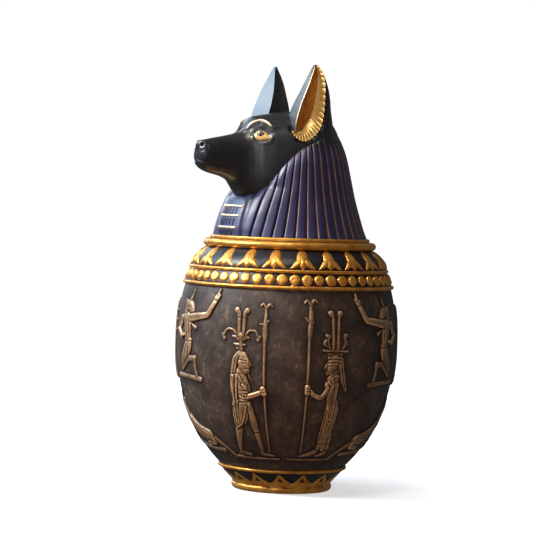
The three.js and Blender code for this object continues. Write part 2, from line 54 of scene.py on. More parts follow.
# Vessel, as on the part
FOOT_RADIUS = 35.3
FOOT_ROLL_TUBE = 2.75
LEAF_BAND_Z = 5.5
LEAF_BAND_HEIGHT = 9.8
RING_TUBE = 1.2
FOOT_RING_Z = 16.5
BODY_Z = 17.7
BODY_FOOT_RADIUS = 44.2
BELLY_Z = 103.0
BELLY_RADIUS = 77.0
SHOULDER_Z = 143.1
SHOULDER_RADIUS = 72.4
BEAD_RING_Z = 144.4
BEAD_RING_TUBE = 1.3
BEAD_BAND_Z = 145.7
BEAD_BAND_HEIGHT = 8.5
COLLAR_RING_Z = 155.4
COLLAR_RADIUS = 68.9
LOTUS_BAND_Z = 156.6
LOTUS_BAND_HEIGHT = 13.1
RIM_RADIUS = 58.0
RIM_TUBE = 2.7
RIM_Z = JAR_TOP - RIM_TUBE
MOUTH_RADIUS = 50.0
NECK_Z = 167.9
WALL = 6.0
FLOOR = 8.0

# Ornament
LEAF_COUNT = 15
BEAD_COUNT = 52
BEAD_RADIUS = 3.75
LOTUS_COUNT = 22
PAIR_ANGLE = 56.0
DRAWN_RADIUS = 77.5

# Lid
SEAT_Z = JAR_TOP + 0.3
PLUG_RADIUS = 49.2
PLUG_DEPTH = 7.0
LIP_RADIUS = 56.1
LIP_THICKNESS = 2.3
WIG_FOOT = 176.6
CHEST_ANGLE = 16.5
GROOVES_PER_SIDE = 19
GROOVE_DEPTH = 1.5

# Fineness of the meshes
VESSEL_COLUMNS = 384
BODY_ROWS = 96
INSIDE_ROWS = 30
BAND_ROWS = 8
LOTUS_ROWS = 14
RING_COLUMNS = 288
RING_SIDES = 20
PLUG_COLUMNS = 192
WIG_ROWS = 84
HEAD_COLUMNS = 144
NEAR_STEP = 0.35
FAR_STEP = 0.6
BAND_STEP = 0.4
PANEL_STEP = 0.3

# Radius of a turned surface's end at the axis, and how far a wall lies inside its gold roll
AXIS = 0.01
UNDER_GOLD = 0.15


def clamp01(value):
    return np.clip(value, 0.0, 1.0)


def mix(a, b, t):
    return a + (b - a) * t


def fair_curve(x, knots):
    """Smooth value at x through [x, value, ...] knots, without overshoot."""
    knots = np.asarray(knots, dtype=float)
    kx, ky = knots[:, 0], knots[:, 1:]
    gap = np.diff(kx)[:, None]
    slope = np.diff(ky, axis=0) / gap
    tangent = np.zeros_like(ky)
    tangent[0], tangent[-1] = slope[0], slope[-1]
    product = slope[:-1] * slope[1:]
    total = slope[:-1] + slope[1:]
    safe = np.where(np.abs(total) < 1e-9, 1.0, total)
    tangent[1:-1] = np.where(product > 0, 2 * product / safe, 0.0)
    x = np.clip(np.asarray(x, dtype=float), kx[0], kx[-1])
    i = np.clip(np.searchsorted(kx, x, side="right") - 1, 0, len(kx) - 2)
    t = ((x - kx[i]) / gap[i, 0])[..., None]
    h = gap[i]
    value = ((1 + 2 * t) * (1 - t) ** 2 * ky[i] + t * (1 - t) ** 2 * h * tangent[i]
             + t * t * (3 - 2 * t) * ky[i + 1] + t * t * (t - 1) * h * tangent[i + 1])
    return value[..., 0] if ky.shape[1] == 1 else value


# Outlines of the vessel
def body_radius(z):
    low = (BELLY_Z - z) / (BELLY_Z - BODY_Z)
    shrink = 1 - (BODY_FOOT_RADIUS / BELLY_RADIUS) ** 2
    below = BELLY_RADIUS * np.sqrt(1 - shrink * clamp01(low) ** 2)
    high = clamp01((z - BELLY_Z) / (SHOULDER_Z - BELLY_Z))
    return np.where(z < BELLY_Z, below, mix(BELLY_RADIUS, SHOULDER_RADIUS, high ** 2.4))


def leaf_radius(z):
    t = clamp01((z - LEAF_BAND_Z) / LEAF_BAND_HEIGHT)
    return mix(FOOT_RADIUS - FOOT_ROLL_TUBE / 2, BODY_FOOT_RADIUS - 0.3, t ** 1.1)


def bead_radius(z):
    t = clamp01((z - BEAD_BAND_Z) / BEAD_BAND_HEIGHT)
    return mix(SHOULDER_RADIUS, COLLAR_RADIUS, t ** 1.2)


def lotus_radius(z):
    t = clamp01((z - LOTUS_BAND_Z) / LOTUS_BAND_HEIGHT)
    return mix(COLLAR_RADIUS - 0.4, RIM_RADIUS + 0.4, t ** 1.75)


# Meshes
def grid_faces(rows, columns, wrap=False):
    index = np.arange(rows * columns).reshape(rows, columns)
    right = np.roll(index, -1, axis=1)
    if not wrap:
        index, right = index[:, :-1], right[:, :-1]
    return np.stack([index[:-1], right[:-1], right[1:], index[1:]], axis=-1).reshape(-1, 4)


def piece(name, points, faces, material, shades=None, sharp=50.0):
    """Adds a mesh piece that rides with the part. shades holds one value per point by name."""
    mesh = bpy.data.meshes.new(name)
    corners = np.asarray(points).reshape(-1, 3) * MM
    mesh.from_pydata(corners.tolist(), [], [list(face) for face in faces])
    for key, values in (shades or {}).items():
        layer = mesh.attributes.new(key, "FLOAT", "POINT")
        layer.data.foreach_set("value", np.asarray(values, dtype=np.float32).ravel())
    mesh.validate()
    mesh.polygons.foreach_set("use_smooth", [True] * len(mesh.polygons))
    mesh.set_sharp_from_angle(angle=math.radians(sharp))
    mesh.materials.append(material)
    obj = bpy.data.objects.new(name, mesh)
    bpy.context.scene.collection.objects.link(obj)
    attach(obj, "root")
    return obj


def turned_points(profile, columns):
    """Rows of points of a turned surface through [radius, z] stations."""
    profile = np.asarray(profile, dtype=float)
    angle = np.linspace(0, 2 * np.pi, columns, endpoint=False)
    r = profile[:, :1]
    z = np.repeat(profile[:, 1:], columns, axis=1)
    return np.stack([r * np.sin(angle), -r * np.cos(angle), z], axis=-1)


def on_turned(radius_at, centre, drawn_radius, base=0.0):
    """Function that lays a flat drawing on a turned surface, about a centre in degrees."""
    def place(s, z, out):
        angle = math.radians(centre) + s / drawn_radius
        r = radius_at(base + z) + out
        return np.stack([r * np.sin(angle), -r * np.cos(angle), base + z + 0 * r], axis=-1)

    return place


def half_roll(radius, z, tube, steps, start=-90.0):
    angle = np.radians(np.linspace(start, 90.0, steps))
    return np.stack([radius + tube * np.cos(angle), z + tube * np.sin(angle)], axis=-1)


# Relief drawing
def stroke_distance(s, z, stations):
    """Signed distance to a stroke, negative inside, and its half width at the nearest place."""
    distance = np.full(s.shape, 1e9)
    width = np.ones(s.shape)
    for (s0, z0, w0), (s1, z1, w1) in zip(stations[:-1], stations[1:]):
        ds, dz = s1 - s0, z1 - z0
        t = clamp01(((s - s0) * ds + (z - z0) * dz) / (ds * ds + dz * dz))
        w = w0 + (w1 - w0) * t
        d = np.hypot(s - s0 - ds * t, z - z0 - dz * t) - w
        nearer = d < distance
        distance = np.where(nearer, d, distance)
        width = np.where(nearer, w, width)
    return distance, width


def soft_max(a, b, blend):
    return np.maximum(a, b) + np.maximum(blend - np.abs(a - b), 0) ** 2 / (4 * blend)


def pillow(distance, width, rise, shoulder=4.5, fall=1.5):
    """Height of a rounded form: an edge as wide as the shoulder, falling away outside."""
    q = clamp01(-distance / np.minimum(width, shoulder))
    return np.where(distance > 0, -fall * distance, rise * np.sqrt(q * (2 - q)))


def stroke_rise(width, tallest):
    return np.minimum(0.55 + 0.3 * width, tallest)


def relief_height(drawing, s, z, tallest=2.0):
    """Height field of a drawing: low forms, forms that lie on them, and cut lines."""
    height = np.full(s.shape, -9.0)
    for stations in drawing["low"]:
        distance, width = stroke_distance(s, z, stations)
        height = soft_max(height, pillow(distance, width, stroke_rise(width, tallest)), 0.3)
    for stations in drawing.get("high", []):
        distance, width = stroke_distance(s, z, stations)
        crease = 0.5 * np.exp(-(distance / 0.55) ** 2) * (distance > 0) * (height > 0.5)
        raised = 0.9 + pillow(distance, width, 0.35 + 0.25 * width, 2.0, 3.0)
        height = soft_max(height - crease, raised, 0.15)
    for stations in drawing.get("cuts", []):
        distance, width = stroke_distance(s, z, stations)
        middle = np.maximum(distance + width, 0)
        height = height - 0.75 * width * np.exp(-(middle / width) ** 2) * (height > 0)
    return height


def extent(drawing, margin):
    strokes = drawing["low"] + drawing.get("high", [])
    stations = np.array([point for stroke in strokes for point in stroke])
    low = (stations[:, :2] - stations[:, 2:]).min(axis=0) - margin
    high = (stations[:, :2] + stations[:, 2:]).max(axis=0) + margin
    return low, high


def blurred(field, reach):
    """Mean of a field over a square window, by shifted sums."""
    total = np.zeros_like(field)
    shifts = range(-reach, reach + 1)
    padded = np.pad(field, reach, mode="edge")
    rows, columns = field.shape
    for i in shifts:
        for j in shifts:
            total += padded[reach + i:reach + i + rows, reach + j:reach + j + columns]
    return total / len(shifts) ** 2


def relief_patch(drawing, place, step, tallest=2.0, sink=0.5, mirror=False):
    """Points, faces and heights of a drawing's raised forms, sunk a little into what carries them."""
    low, high = extent(drawing, 1.2)
    across = np.arange(low[0], high[0] + step, step)
    up = np.arange(low[1], high[1] + step, step)
    s, z = np.meshgrid(across, up)
    height = np.maximum(relief_height(drawing, s, z, tallest), -sink)
    side = -1 if mirror else 1
    points = place(side * s, z, height).reshape(-1, 3)
    shallow = np.clip(height, -0.3, None)
    ridge = shallow - blurred(shallow, max(int(round(0.9 / step)), 1))
    faces = grid_faces(*s.shape)
    if mirror:
        faces = faces[:, ::-1]
    kept = (height.ravel()[faces] > -sink + 0.02).any(axis=1)
    faces = faces[kept]
    used = np.unique(faces)
    renumber = np.zeros(len(points), dtype=int)
    renumber[used] = np.arange(len(used))
    return points[used], renumber[faces], np.stack([height.ravel()[used], ridge.ravel()[used]])


def joined(name, patches, material, sharp=80.0):
    """Adds several patches as one piece."""
    points, faces, base = [], [], 0
    for patch in patches:
        points.append(patch[0])
        faces.append(patch[1] + base)
        base += len(patch[0])
    piece(name, np.concatenate(points), np.concatenate(faces), material, sharp=sharp)


# Materials
class Paint:
    """Small helper around one node material."""

    def __init__(self, name):
        self.material = bpy.data.materials.new(name)
        self.material.use_nodes = True
        self.tree = self.material.node_tree
        self.shader = self.tree.nodes["Principled BSDF"]

    def set(self, **values):
        for key, value in values.items():
            self.shader.inputs[key.replace("_", " ")].default_value = value

    def feed(self, socket, value):
        """Links a socket, or sets it to a number, vector or colour."""
        if isinstance(value, bpy.types.NodeSocket):
            self.tree.links.new(value, socket)
        elif socket.type == "RGBA":
            socket.default_value = (*value, 1)
        else:
            socket.default_value = value

    def node(self, kind, inputs=None, **properties):
        node = self.tree.nodes.new(kind)
        for key, value in properties.items():
            setattr(node, key, value)
        for key, value in (inputs or {}).items():
            self.feed(node.inputs[key], value)
        return node

    def link(self, socket, name):
        self.tree.links.new(socket, self.shader.inputs[name])

    def where(self):
        return self.node("ShaderNodeTexCoord").outputs["Object"]

    def noise(self, scale, detail=4.0, roughness=0.6, stretch=None):
        vector = self.where()
        if stretch:
            vector = self.node("ShaderNodeMapping", {"Vector": vector, "Scale": stretch}).outputs[0]
        made = self.node("ShaderNodeTexNoise",
                         {"Vector": vector, "Scale": scale, "Detail": detail, "Roughness": roughness})
        return made.outputs["Fac"]

    def shade(self, name):
        return self.node("ShaderNodeAttribute", attribute_name=name).outputs["Fac"]

    def ramp(self, value, stops):
        node = self.node("ShaderNodeValToRGB", {"Fac": value})
        elements = node.color_ramp.elements
        elements[0].position, elements[0].color = stops[0][0], (*stops[0][1], 1)
        elements[1].position, elements[1].color = stops[-1][0], (*stops[-1][1], 1)
        for position, color in stops[1:-1]:
            elements.new(position).color = (*color, 1)
        return node.outputs["Color"]

    def span(self, value, low, high, start=0.0, end=1.0):
        return self.node("ShaderNodeMapRange", {"Value": value, "From Min": low, "From Max": high,
                                                "To Min": start, "To Max": end}).outputs[0]

    def math(self, operation, a, b):
        node = self.node("ShaderNodeMath", operation=operation)
        for socket, value in zip(node.inputs, (a, b)):
            self.feed(socket, value)
        return node.outputs[0]

    def times(self, a, b):
        return self.math("MULTIPLY", a, b)

    def blend(self, amount, a, b):
        node = self.node("ShaderNodeMix", data_type="RGBA")
        for key, value in (("Factor", amount), (6, a), (7, b)):
            self.feed(node.inputs[key], value)
        return node.outputs[2]

    def bump(self, height, distance, strength=1.0):
        node = self.node("ShaderNodeBump", {"Height": height, "Distance": distance, "Strength": strength})
        self.link(node.outputs["Normal"], "Normal")


def antique_bronze(name, relief):
    """Dark bronze paint, rubbed with gold on what stands up and left dark around it. On the relief that gold
    on high places and ridges is also painted highlight, and the dark in its creases is painted shade.
    """
    paint = Paint(name)
    paint.set(Metallic=0.45 if relief else 0.25)
    cloud = paint.noise(55.0, 6.0, 0.65)
    grain = paint.noise(380.0, 4.0, 0.7, (1.0, 1.0, 0.6))
    if relief:
        # Relief colour: gold rubbing on high places and ridges that also serves as painted highlight, near
        # black in creases as painted shade
        edge = paint.span(paint.shade("ridge"), -0.2, 0.26)
        speck = paint.noise(900.0, 3.0, 0.7)
        worn = paint.times(paint.span(paint.shade("rise"), 0.05, 0.6), paint.span(speck, 0.25, 0.6, 0.6, 1.0))
        gilding_and_highlight = paint.times(worn, edge)
        color = paint.ramp(gilding_and_highlight, [(0.0, (0.018, 0.010, 0.007)), (0.3, (0.15, 0.085, 0.045)),
                                    (0.8, (0.76, 0.50, 0.27))])
        patchy = paint.times(paint.span(paint.noise(120.0, 5.0, 0.65), 0.46, 0.66), 0.6)
        color = paint.blend(patchy, color, (0.075, 0.045, 0.026))
    else:
        color = paint.ramp(cloud, [(0.3, (0.031, 0.021, 0.017)), (0.5, (0.057, 0.040, 0.032)),
                                   (0.7, (0.108, 0.078, 0.058))])
        rubbed = paint.times(paint.span(grain, 0.54, 0.7), paint.span(cloud, 0.4, 0.62, 0.15, 1.0))
        color = paint.blend(paint.times(rubbed, 0.65), color, (0.30, 0.21, 0.115))
        # Darker ground around the figures: patina in the recess plus painted shade
        color = paint.blend(paint.times(paint.shade("near"), 0.75), color, (0.016, 0.011, 0.01))
        color = paint.blend(paint.shade("black"), color, (0.012, 0.011, 0.013))
    paint.link(color, "Base Color")
    smooth, coarse = (0.34, 0.5) if relief else (0.42, 0.6)
    rough = paint.span(grain, 0.3, 0.7, smooth, coarse)
    if not relief:
        rough = paint.math("SUBTRACT", rough, paint.times(paint.shade("black"), 0.14))
    paint.link(rough, "Roughness")
    paint.bump(paint.math("ADD", paint.times(cloud, 0.6), grain), 0.0005, 0.45)
    return paint.material


def gold_paint(name, deep, bright, bare_and_shade=None, metallic=0.75):
    """Satin gold paint with thin and worn places, darkened by an optional mask: bare gold on the foot,
    painted shade between the ear's ribs.
    """
    paint = Paint(name)
    paint.set(Metallic=metallic)
    cloud = paint.noise(140.0, 5.0, 0.6)
    fine = paint.noise(700.0, 3.0, 0.6)
    color = paint.ramp(cloud, [(0.32, deep), (0.62, bright)])
    worn = paint.span(paint.noise(260.0, 5.0, 0.7), 0.6, 0.75)
    color = paint.blend(paint.times(worn, 0.35), color, (0.2, 0.085, 0.02))
    # Darkened by the named mask: bare gold on the foot, painted shade between the ear's ribs
    if bare_and_shade:
        color = paint.blend(paint.shade(bare_and_shade), color, (0.02, 0.012, 0.008))
    paint.link(color, "Base Color")
    paint.link(paint.span(fine, 0.3, 0.7, 0.27, 0.44), "Roughness")
    paint.bump(paint.math("ADD", paint.times(cloud, 1.5), fine), 0.0003, 0.4)
    return paint.material


def wig_paint():
    """Satin navy-violet stripes with painted shade in the grooves and a rubbed copper edge, black by the
    ears.
    """
    paint = Paint("wig_paint")
    paint.set(IOR=1.55, Coat_Weight=0.25, Coat_Roughness=0.34)
    cloud = paint.noise(70.0, 5.0, 0.6, (1.0, 1.0, 0.4))
    color = paint.ramp(cloud, [(0.3, (0.012, 0.010, 0.042)), (0.55, (0.020, 0.018, 0.086)),
                               (0.75, (0.034, 0.024, 0.078))])
    color = paint.blend(paint.shade("black"), color, (0.010, 0.009, 0.013))
    # Grooves painted near black: painted shade in the cuts
    color = paint.blend(paint.shade("groove_shade"), color, (0.006, 0.005, 0.008))
    thin = paint.span(paint.noise(300.0, 3.0, 0.6, (1.0, 1.0, 0.3)), 0.32, 0.6, 0.25, 1.0)
    color = paint.blend(paint.times(paint.shade("copper"), thin), color, (0.155, 0.08, 0.052))
    paint.link(color, "Base Color")
    paint.link(paint.span(cloud, 0.3, 0.7, 0.36, 0.5), "Roughness")
    paint.bump(paint.noise(500.0, 4.0, 0.6, (1.0, 1.0, 0.3)), 0.0002, 0.35)
    return paint.material


def head_gloss():
    paint = Paint("head_gloss")
    paint.set(Roughness=0.34, IOR=1.6, Coat_Weight=0.35, Coat_Roughness=0.28)
    cloud = paint.noise(90.0, 4.0, 0.6)
    paint.link(paint.ramp(cloud, [(0.3, (0.009, 0.009, 0.011)), (0.7, (0.016, 0.015, 0.018))]), "Base Color")
    paint.link(paint.span(paint.noise(500.0, 4.0, 0.6), 0.3, 0.7, 0.3, 0.4), "Roughness")
    paint.bump(paint.noise(350.0, 4.0, 0.5), 0.0001, 0.3)
    return paint.material


def plain_paint(name, color, roughness, metallic=0.0):
    paint = Paint(name)
    paint.set(Metallic=metallic)
    cloud = paint.noise(600.0, 4.0, 0.6)
    darker = tuple(0.7 * value for value in color)
    paint.link(paint.ramp(cloud, [(0.3, darker), (0.65, color)]), "Base Color")
    paint.link(paint.span(cloud, 0.3, 0.7, roughness - 0.06, roughness + 0.08), "Roughness")
    paint.bump(cloud, 0.0002, 0.3)
    return paint.material


BRONZE = antique_bronze("antique_bronze", False)
RELIEF_BRONZE = antique_bronze("rubbed_relief", True)
GOLD = gold_paint("gold_paint", (0.60, 0.235, 0.034), (0.88, 0.445, 0.09))
FOOT_GOLD = gold_paint("foot_gold", (0.62, 0.25, 0.04), (0.95, 0.52, 0.11), "bare")
# Ear lining gold, with painted shade in the grooves between its ribs
EAR_GOLD = gold_paint("ear_gold", (0.90, 0.45, 0.10), (1.0, 0.78, 0.30), "groove_shade", metallic=0.35)
WIG = wig_paint()
HEAD = head_gloss()
DARK = plain_paint("dark_line", (0.012, 0.010, 0.014), 0.5)
WHITE = plain_paint("glint_paint", (0.72, 0.72, 0.70), 0.35)
EYE_GOLD = plain_paint("eye_gold", (0.95, 0.62, 0.24), 0.35, 0.2)
EYE_GREY = plain_paint("eye_grey", (0.45, 0.45, 0.46), 0.3)
EAR_WALL = gold_paint("ear_wall_paint", (0.40, 0.15, 0.03), (0.60, 0.28, 0.06))
PALE_GOLD = gold_paint("pale_gold", (0.82, 0.58, 0.32), (0.95, 0.80, 0.55))
# Brow line: a gold paint line coloured pale cream, partly its painted highlight
BROW_PAINT_AND_HIGHLIGHT = plain_paint("brow_paint_and_highlight", (0.98, 0.86, 0.62), 0.35)


# Figures of the relief, drawn on the opened-out body about the middle of the pair
def walking_man():
    low = [
        [(-12.1, 31.5, 0.95), (-13.6, 58, 1.0), (-14.6, 85, 1.1), (-14.5, 112, 1.2), (-14.4, 130, 1.3)],
        [(-18.3, 131.8, 0.9), (-16.6, 133, 1.1), (-14.2, 130.8, 1.3), (-11.8, 133, 1.1), (-10.2, 131.4, 0.9)],
        [(-14.5, 108, 1.5), (-14.6, 113, 2.0), (-14.5, 121, 1.7), (-14.2, 126, 1.2)],
        [(-18.2, 119.4, 0.8), (-15, 119.2, 1.1), (-12.8, 121.6, 1.3)],
        [(-35.5, 128.4, 2.2), (-33.7, 125.6, 1.7), (-33.3, 118, 1.5), (-32.7, 109, 1.6)],
        [(-27.9, 128.0, 2.2), (-29.5, 125.2, 1.7), (-29.7, 118, 1.5), (-29.9, 109, 1.6)],
        [(-33.3, 109.4, 1.1), (-35.5, 113, 1.0), (-38.1, 115, 1.0), (-40.9, 115.4, 1.0), (-43.3, 114, 1.0),
         (-44.7, 111.4, 1.1)],
        [(-45.7, 111.4, 1.2), (-44.3, 108.8, 1.5)],
        [(-29, 109.4, 1.1), (-27, 113, 1.0), (-24.7, 114.8, 1.0), (-22.3, 114.8, 1.0), (-20.1, 113.2, 1.0),
         (-19.3, 111, 1.1)],
        [(-17.9, 110.8, 1.2), (-19.1, 108.6, 1.5)],
        [(-33.1, 108.8, 1.5), (-35.5, 110.2, 1.2), (-37.7, 110.4, 0.9)],
        [(-29.3, 108.8, 1.5), (-27.1, 110, 1.2), (-25.5, 109.6, 0.9)],
        [(-36.4, 105.3, 0.9), (-32.3, 104.7, 1.6), (-28.3, 104.9, 0.9)],
        [(-34.3, 102.3, 0.9), (-30, 102.1, 0.9)],
        [(-31.5, 111, 2.8), (-31.3, 107, 1.6), (-31.1, 100, 1.9)],
        [(-30.3, 96.4, 4.4), (-29.3, 92.4, 5.1), (-28.5, 88.4, 4.0)],
        [(-25.1, 93.8, 1.2), (-23.9, 91.4, 1.0)],
        [(-26.1, 88.8, 1.5), (-25.9, 87.2, 1.5)],
        [(-26.3, 86.6, 0.9), (-24.6, 82.8, 0.6), (-22.8, 80, 0.45)],
        [(-31.6, 98.4, 3.2), (-34.9, 94.8, 2.8), (-36.3, 88, 2.5), (-38, 82, 2.0), (-38.6, 77, 1.2)],
        [(-32.1, 86, 4.0), (-31, 80, 5.2), (-29.6, 74.6, 4.8), (-29.8, 66, 4.0)],
        [(-26.6, 78.4, 1.8), (-25.6, 75.2, 1.8), (-27.4, 72, 1.6)],
        [(-35.6, 66, 3.4), (-37, 58, 3.2), (-38.6, 49.6, 1.3)],
        [(-30, 66.5, 4.0), (-31.4, 59, 5.4), (-32.6, 54, 4.2)],
        [(-27, 65, 2.8), (-24.5, 55.5, 3.1), (-21.8, 46, 2.5), (-20.2, 38.5, 2.1), (-18.4, 31, 1.5)],
        [(-35.2, 52, 3.6), (-37.8, 43, 3.0), (-39.6, 35, 2.1), (-40.2, 30, 1.7)],
        [(-41.6, 29.8, 1.5), (-38, 29.6, 1.6), (-30, 28.6, 0.9)],
        [(-19.6, 30.4, 1.5), (-15.6, 29.4, 1.3), (-7.6, 28.6, 0.8)],
        [(-47, 26.7, 0.8), (-27, 26.2, 0.8), (-3, 26.3, 0.8)],
    ]
    high = [
        [(-37.6, 83.4, 1.4), (-38.2, 76, 1.1), (-37.2, 68, 1.0), (-37.8, 63.6, 1.5)],
        [(-34.2, 83.8, 1.4), (-34.8, 76, 1.0), (-35.4, 68, 0.9)],
        [(-37.6, 61.6, 0.7), (-37.4, 55, 0.6), (-37, 50.6, 0.5)],
        [(-27, 69.6, 1.7), (-20.7, 71.6, 1.6), (-16, 73.4, 1.5)],
        [(-15.4, 75.6, 1.8), (-14.4, 72.4, 1.8)],
        [(-29.8, 77.8, 1.0), (-27.8, 75.8, 1.5)],
        [(-30, 70.6, 0.8), (-27.4, 71, 0.7)],
        [(-28.2, 62.6, 0.9), (-30.2, 56, 0.8), (-33.4, 50.4, 0.7), (-38, 47.6, 0.6)],
    ]
    cuts = [
        [(-32.1, 96.8, 0.55), (-33.5, 92, 0.5), (-34.6, 85.6, 0.5)],
        [(-35.1, 96, 0.45), (-36.5, 88, 0.45), (-38.2, 81, 0.4)],
        [(-31.7, 94.8, 0.5), (-28.5, 94.6, 0.45), (-26.5, 94.2, 0.4)],
        [(-29.7, 92.8, 0.4), (-27.3, 92.6, 0.4)],
        [(-27.3, 89.2, 0.4), (-24.9, 89.4, 0.35)],
        [(-32.7, 91.4, 0.7), (-32.5, 90.6, 0.7)],
        [(-32, 85.6, 0.5), (-28.8, 80, 0.5), (-25.6, 77.6, 0.4)],
        [(-32.8, 74, 0.4), (-25.8, 73.4, 0.4)],
        [(-32.8, 71.4, 0.4), (-27, 69, 0.4)],
        [(-33, 68.4, 0.4), (-26.4, 67.2, 0.4)],
        [(-33.6, 65.8, 0.55), (-25, 66.2, 0.5)],
        [(-33.6, 64, 0.45), (-34.6, 52, 0.4)],
        [(-29.4, 54.4, 0.6), (-33.2, 48.6, 0.6), (-38.2, 45.4, 0.5)],
        [(-27.6, 60.6, 0.45), (-25, 51, 0.45)],
        [(-23.4, 44.6, 0.5), (-20, 45, 0.45)],
        [(-16.8, 74.8, 0.3), (-13, 75.2, 0.3)],
        [(-16.6, 73.2, 0.3), (-12.8, 73.6, 0.3)],
        [(-35.1, 123, 0.4), (-31.3, 123, 0.3), (-27.9, 122.6, 0.4)],
    ]
    return {"low": low, "high": high, "cuts": cuts}


def standing_woman():
    low = [
        [(16.9, 31.5, 0.95), (16, 54, 1.0), (15.8, 85, 1.1), (15.9, 114, 1.2), (16.6, 133, 1.3)],
        [(12.4, 134.6, 0.9), (14.2, 136.4, 1.1), (16.6, 133.6, 1.3), (19.2, 136.8, 1.1), (21.2, 135.2, 0.9)],
        [(15.9, 110.6, 1.3), (16.2, 116, 1.9), (16.8, 123, 1.9), (17, 129, 1.4)],
        [(12.9, 124.6, 0.8), (15.4, 122.4, 1.2), (18, 121.8, 1.4)],
        [(31.2, 128, 2.3), (32.8, 124.4, 1.3), (33.2, 104, 1.4)],
        [(38.4, 128, 2.3), (37.1, 124.4, 1.3), (36.7, 104, 1.4)],
        [(28.4, 113, 1.6), (29.8, 112.4, 1.5), (28.9, 109.6, 0.9), (30.2, 104.8, 0.9)],
        [(27.6, 109.6, 1.0), (26.6, 107.4, 1.3), (28.4, 106, 0.9)],
        [(43, 113.2, 1.7), (41.8, 112.2, 1.4), (42.4, 108, 0.9), (40.6, 104.6, 0.9)],
        [(43.8, 109, 0.8), (43.6, 107, 0.9)],
        [(26.4, 102.9, 1.1), (44.2, 102.5, 1.1)],
        [(29.8, 100.6, 1.0), (40, 100.4, 1.0)],
        [(30.6, 98, 1.6), (34.4, 98.4, 2.0), (38.8, 98, 1.7)],
        [(34.6, 96.4, 4.4), (33.2, 92.6, 4.6), (32.2, 88.6, 3.2)],
        [(28.8, 93.2, 1.1), (27.6, 91, 0.9)],
        [(29.4, 88.4, 1.3), (29.8, 87, 1.3)],
        [(38.2, 96.4, 3.2), (40, 89, 2.8), (42.6, 82, 2.2), (45.6, 75, 1.0)],
        [(35.4, 88, 3.6), (34, 82, 4.8), (33.8, 76, 3.9), (35.2, 69, 4.4), (36.8, 62, 5.6)],
        [(29.6, 80.6, 1.8), (29.8, 77.6, 1.6)],
        [(36.8, 62, 5.6), (36, 54, 5.8), (35.6, 46, 5.6)],
        [(32.8, 46, 3.2), (32.6, 35.4, 2.4)],
        [(36.6, 46, 3.2), (37.2, 34.8, 2.6)],
        [(39.4, 46, 2.6), (41.4, 35.2, 2.2)],
        [(31.4, 32.6, 1.9), (26, 30.6, 1.6), (16.6, 28.8, 0.9)],
        [(41, 31.4, 1.5), (36, 29.6, 1.1), (32, 29, 0.8)],
        [(5, 26.4, 0.8), (29, 26.2, 0.8), (51, 26.6, 0.8)],
    ]
    high = [
        [(37.2, 80, 1.5), (37, 71, 1.3), (36.6, 60, 1.1), (36.2, 56, 1.6)],
        [(36, 53.6, 0.6), (35, 45, 0.5), (34.6, 35.6, 0.5)],
        [(36.4, 85.2, 1.9), (33.2, 82.6, 1.9), (30, 79.4, 1.7)],
        [(31, 78, 1.5), (28.8, 73.6, 1.4), (26, 70.8, 1.5), (21.4, 72.4, 1.4), (17.6, 75.4, 1.5)],
        [(16, 77.8, 1.8), (16.2, 74.2, 1.9)],
    ]
    cuts = [
        [(29.6, 96.8, 0.45), (34.4, 97.3, 0.45), (39.6, 96.9, 0.4)],
        [(29.8, 94.6, 0.45), (34.4, 95.2, 0.45), (38.6, 94.4, 0.4)],
        [(30.2, 92.6, 0.4), (32.2, 92.8, 0.4)],
        [(28.2, 88.8, 0.35), (30.2, 88.8, 0.35)],
        [(36, 93, 0.55), (37.2, 87, 0.5)],
        [(39.6, 94, 0.4), (41.4, 85, 0.4), (44, 78, 0.4)],
        [(34.2, 85, 0.4), (35.4, 81.8, 0.4)],
        [(31.8, 83, 0.4), (33.6, 79.8, 0.4)],
        [(30, 81.4, 0.4), (31.8, 78.2, 0.4)],
        [(34.4, 77, 0.45), (34.2, 68, 0.45), (33.8, 58, 0.4)],
        [(32.4, 62, 0.4), (31.4, 50, 0.4), (30.8, 36, 0.4)],
        [(37.2, 50, 0.4), (37, 34, 0.4)],
        [(39.6, 60, 0.4), (39.2, 46, 0.4), (39.6, 34, 0.4)],
        [(30.6, 38, 0.4), (42.6, 38.4, 0.4)],
        [(14.2, 76.4, 0.3), (18, 76.6, 0.3)],
        [(14.2, 75, 0.3), (18, 75.2, 0.3)],
    ]
    return {"low": low, "high": high, "cuts": cuts}


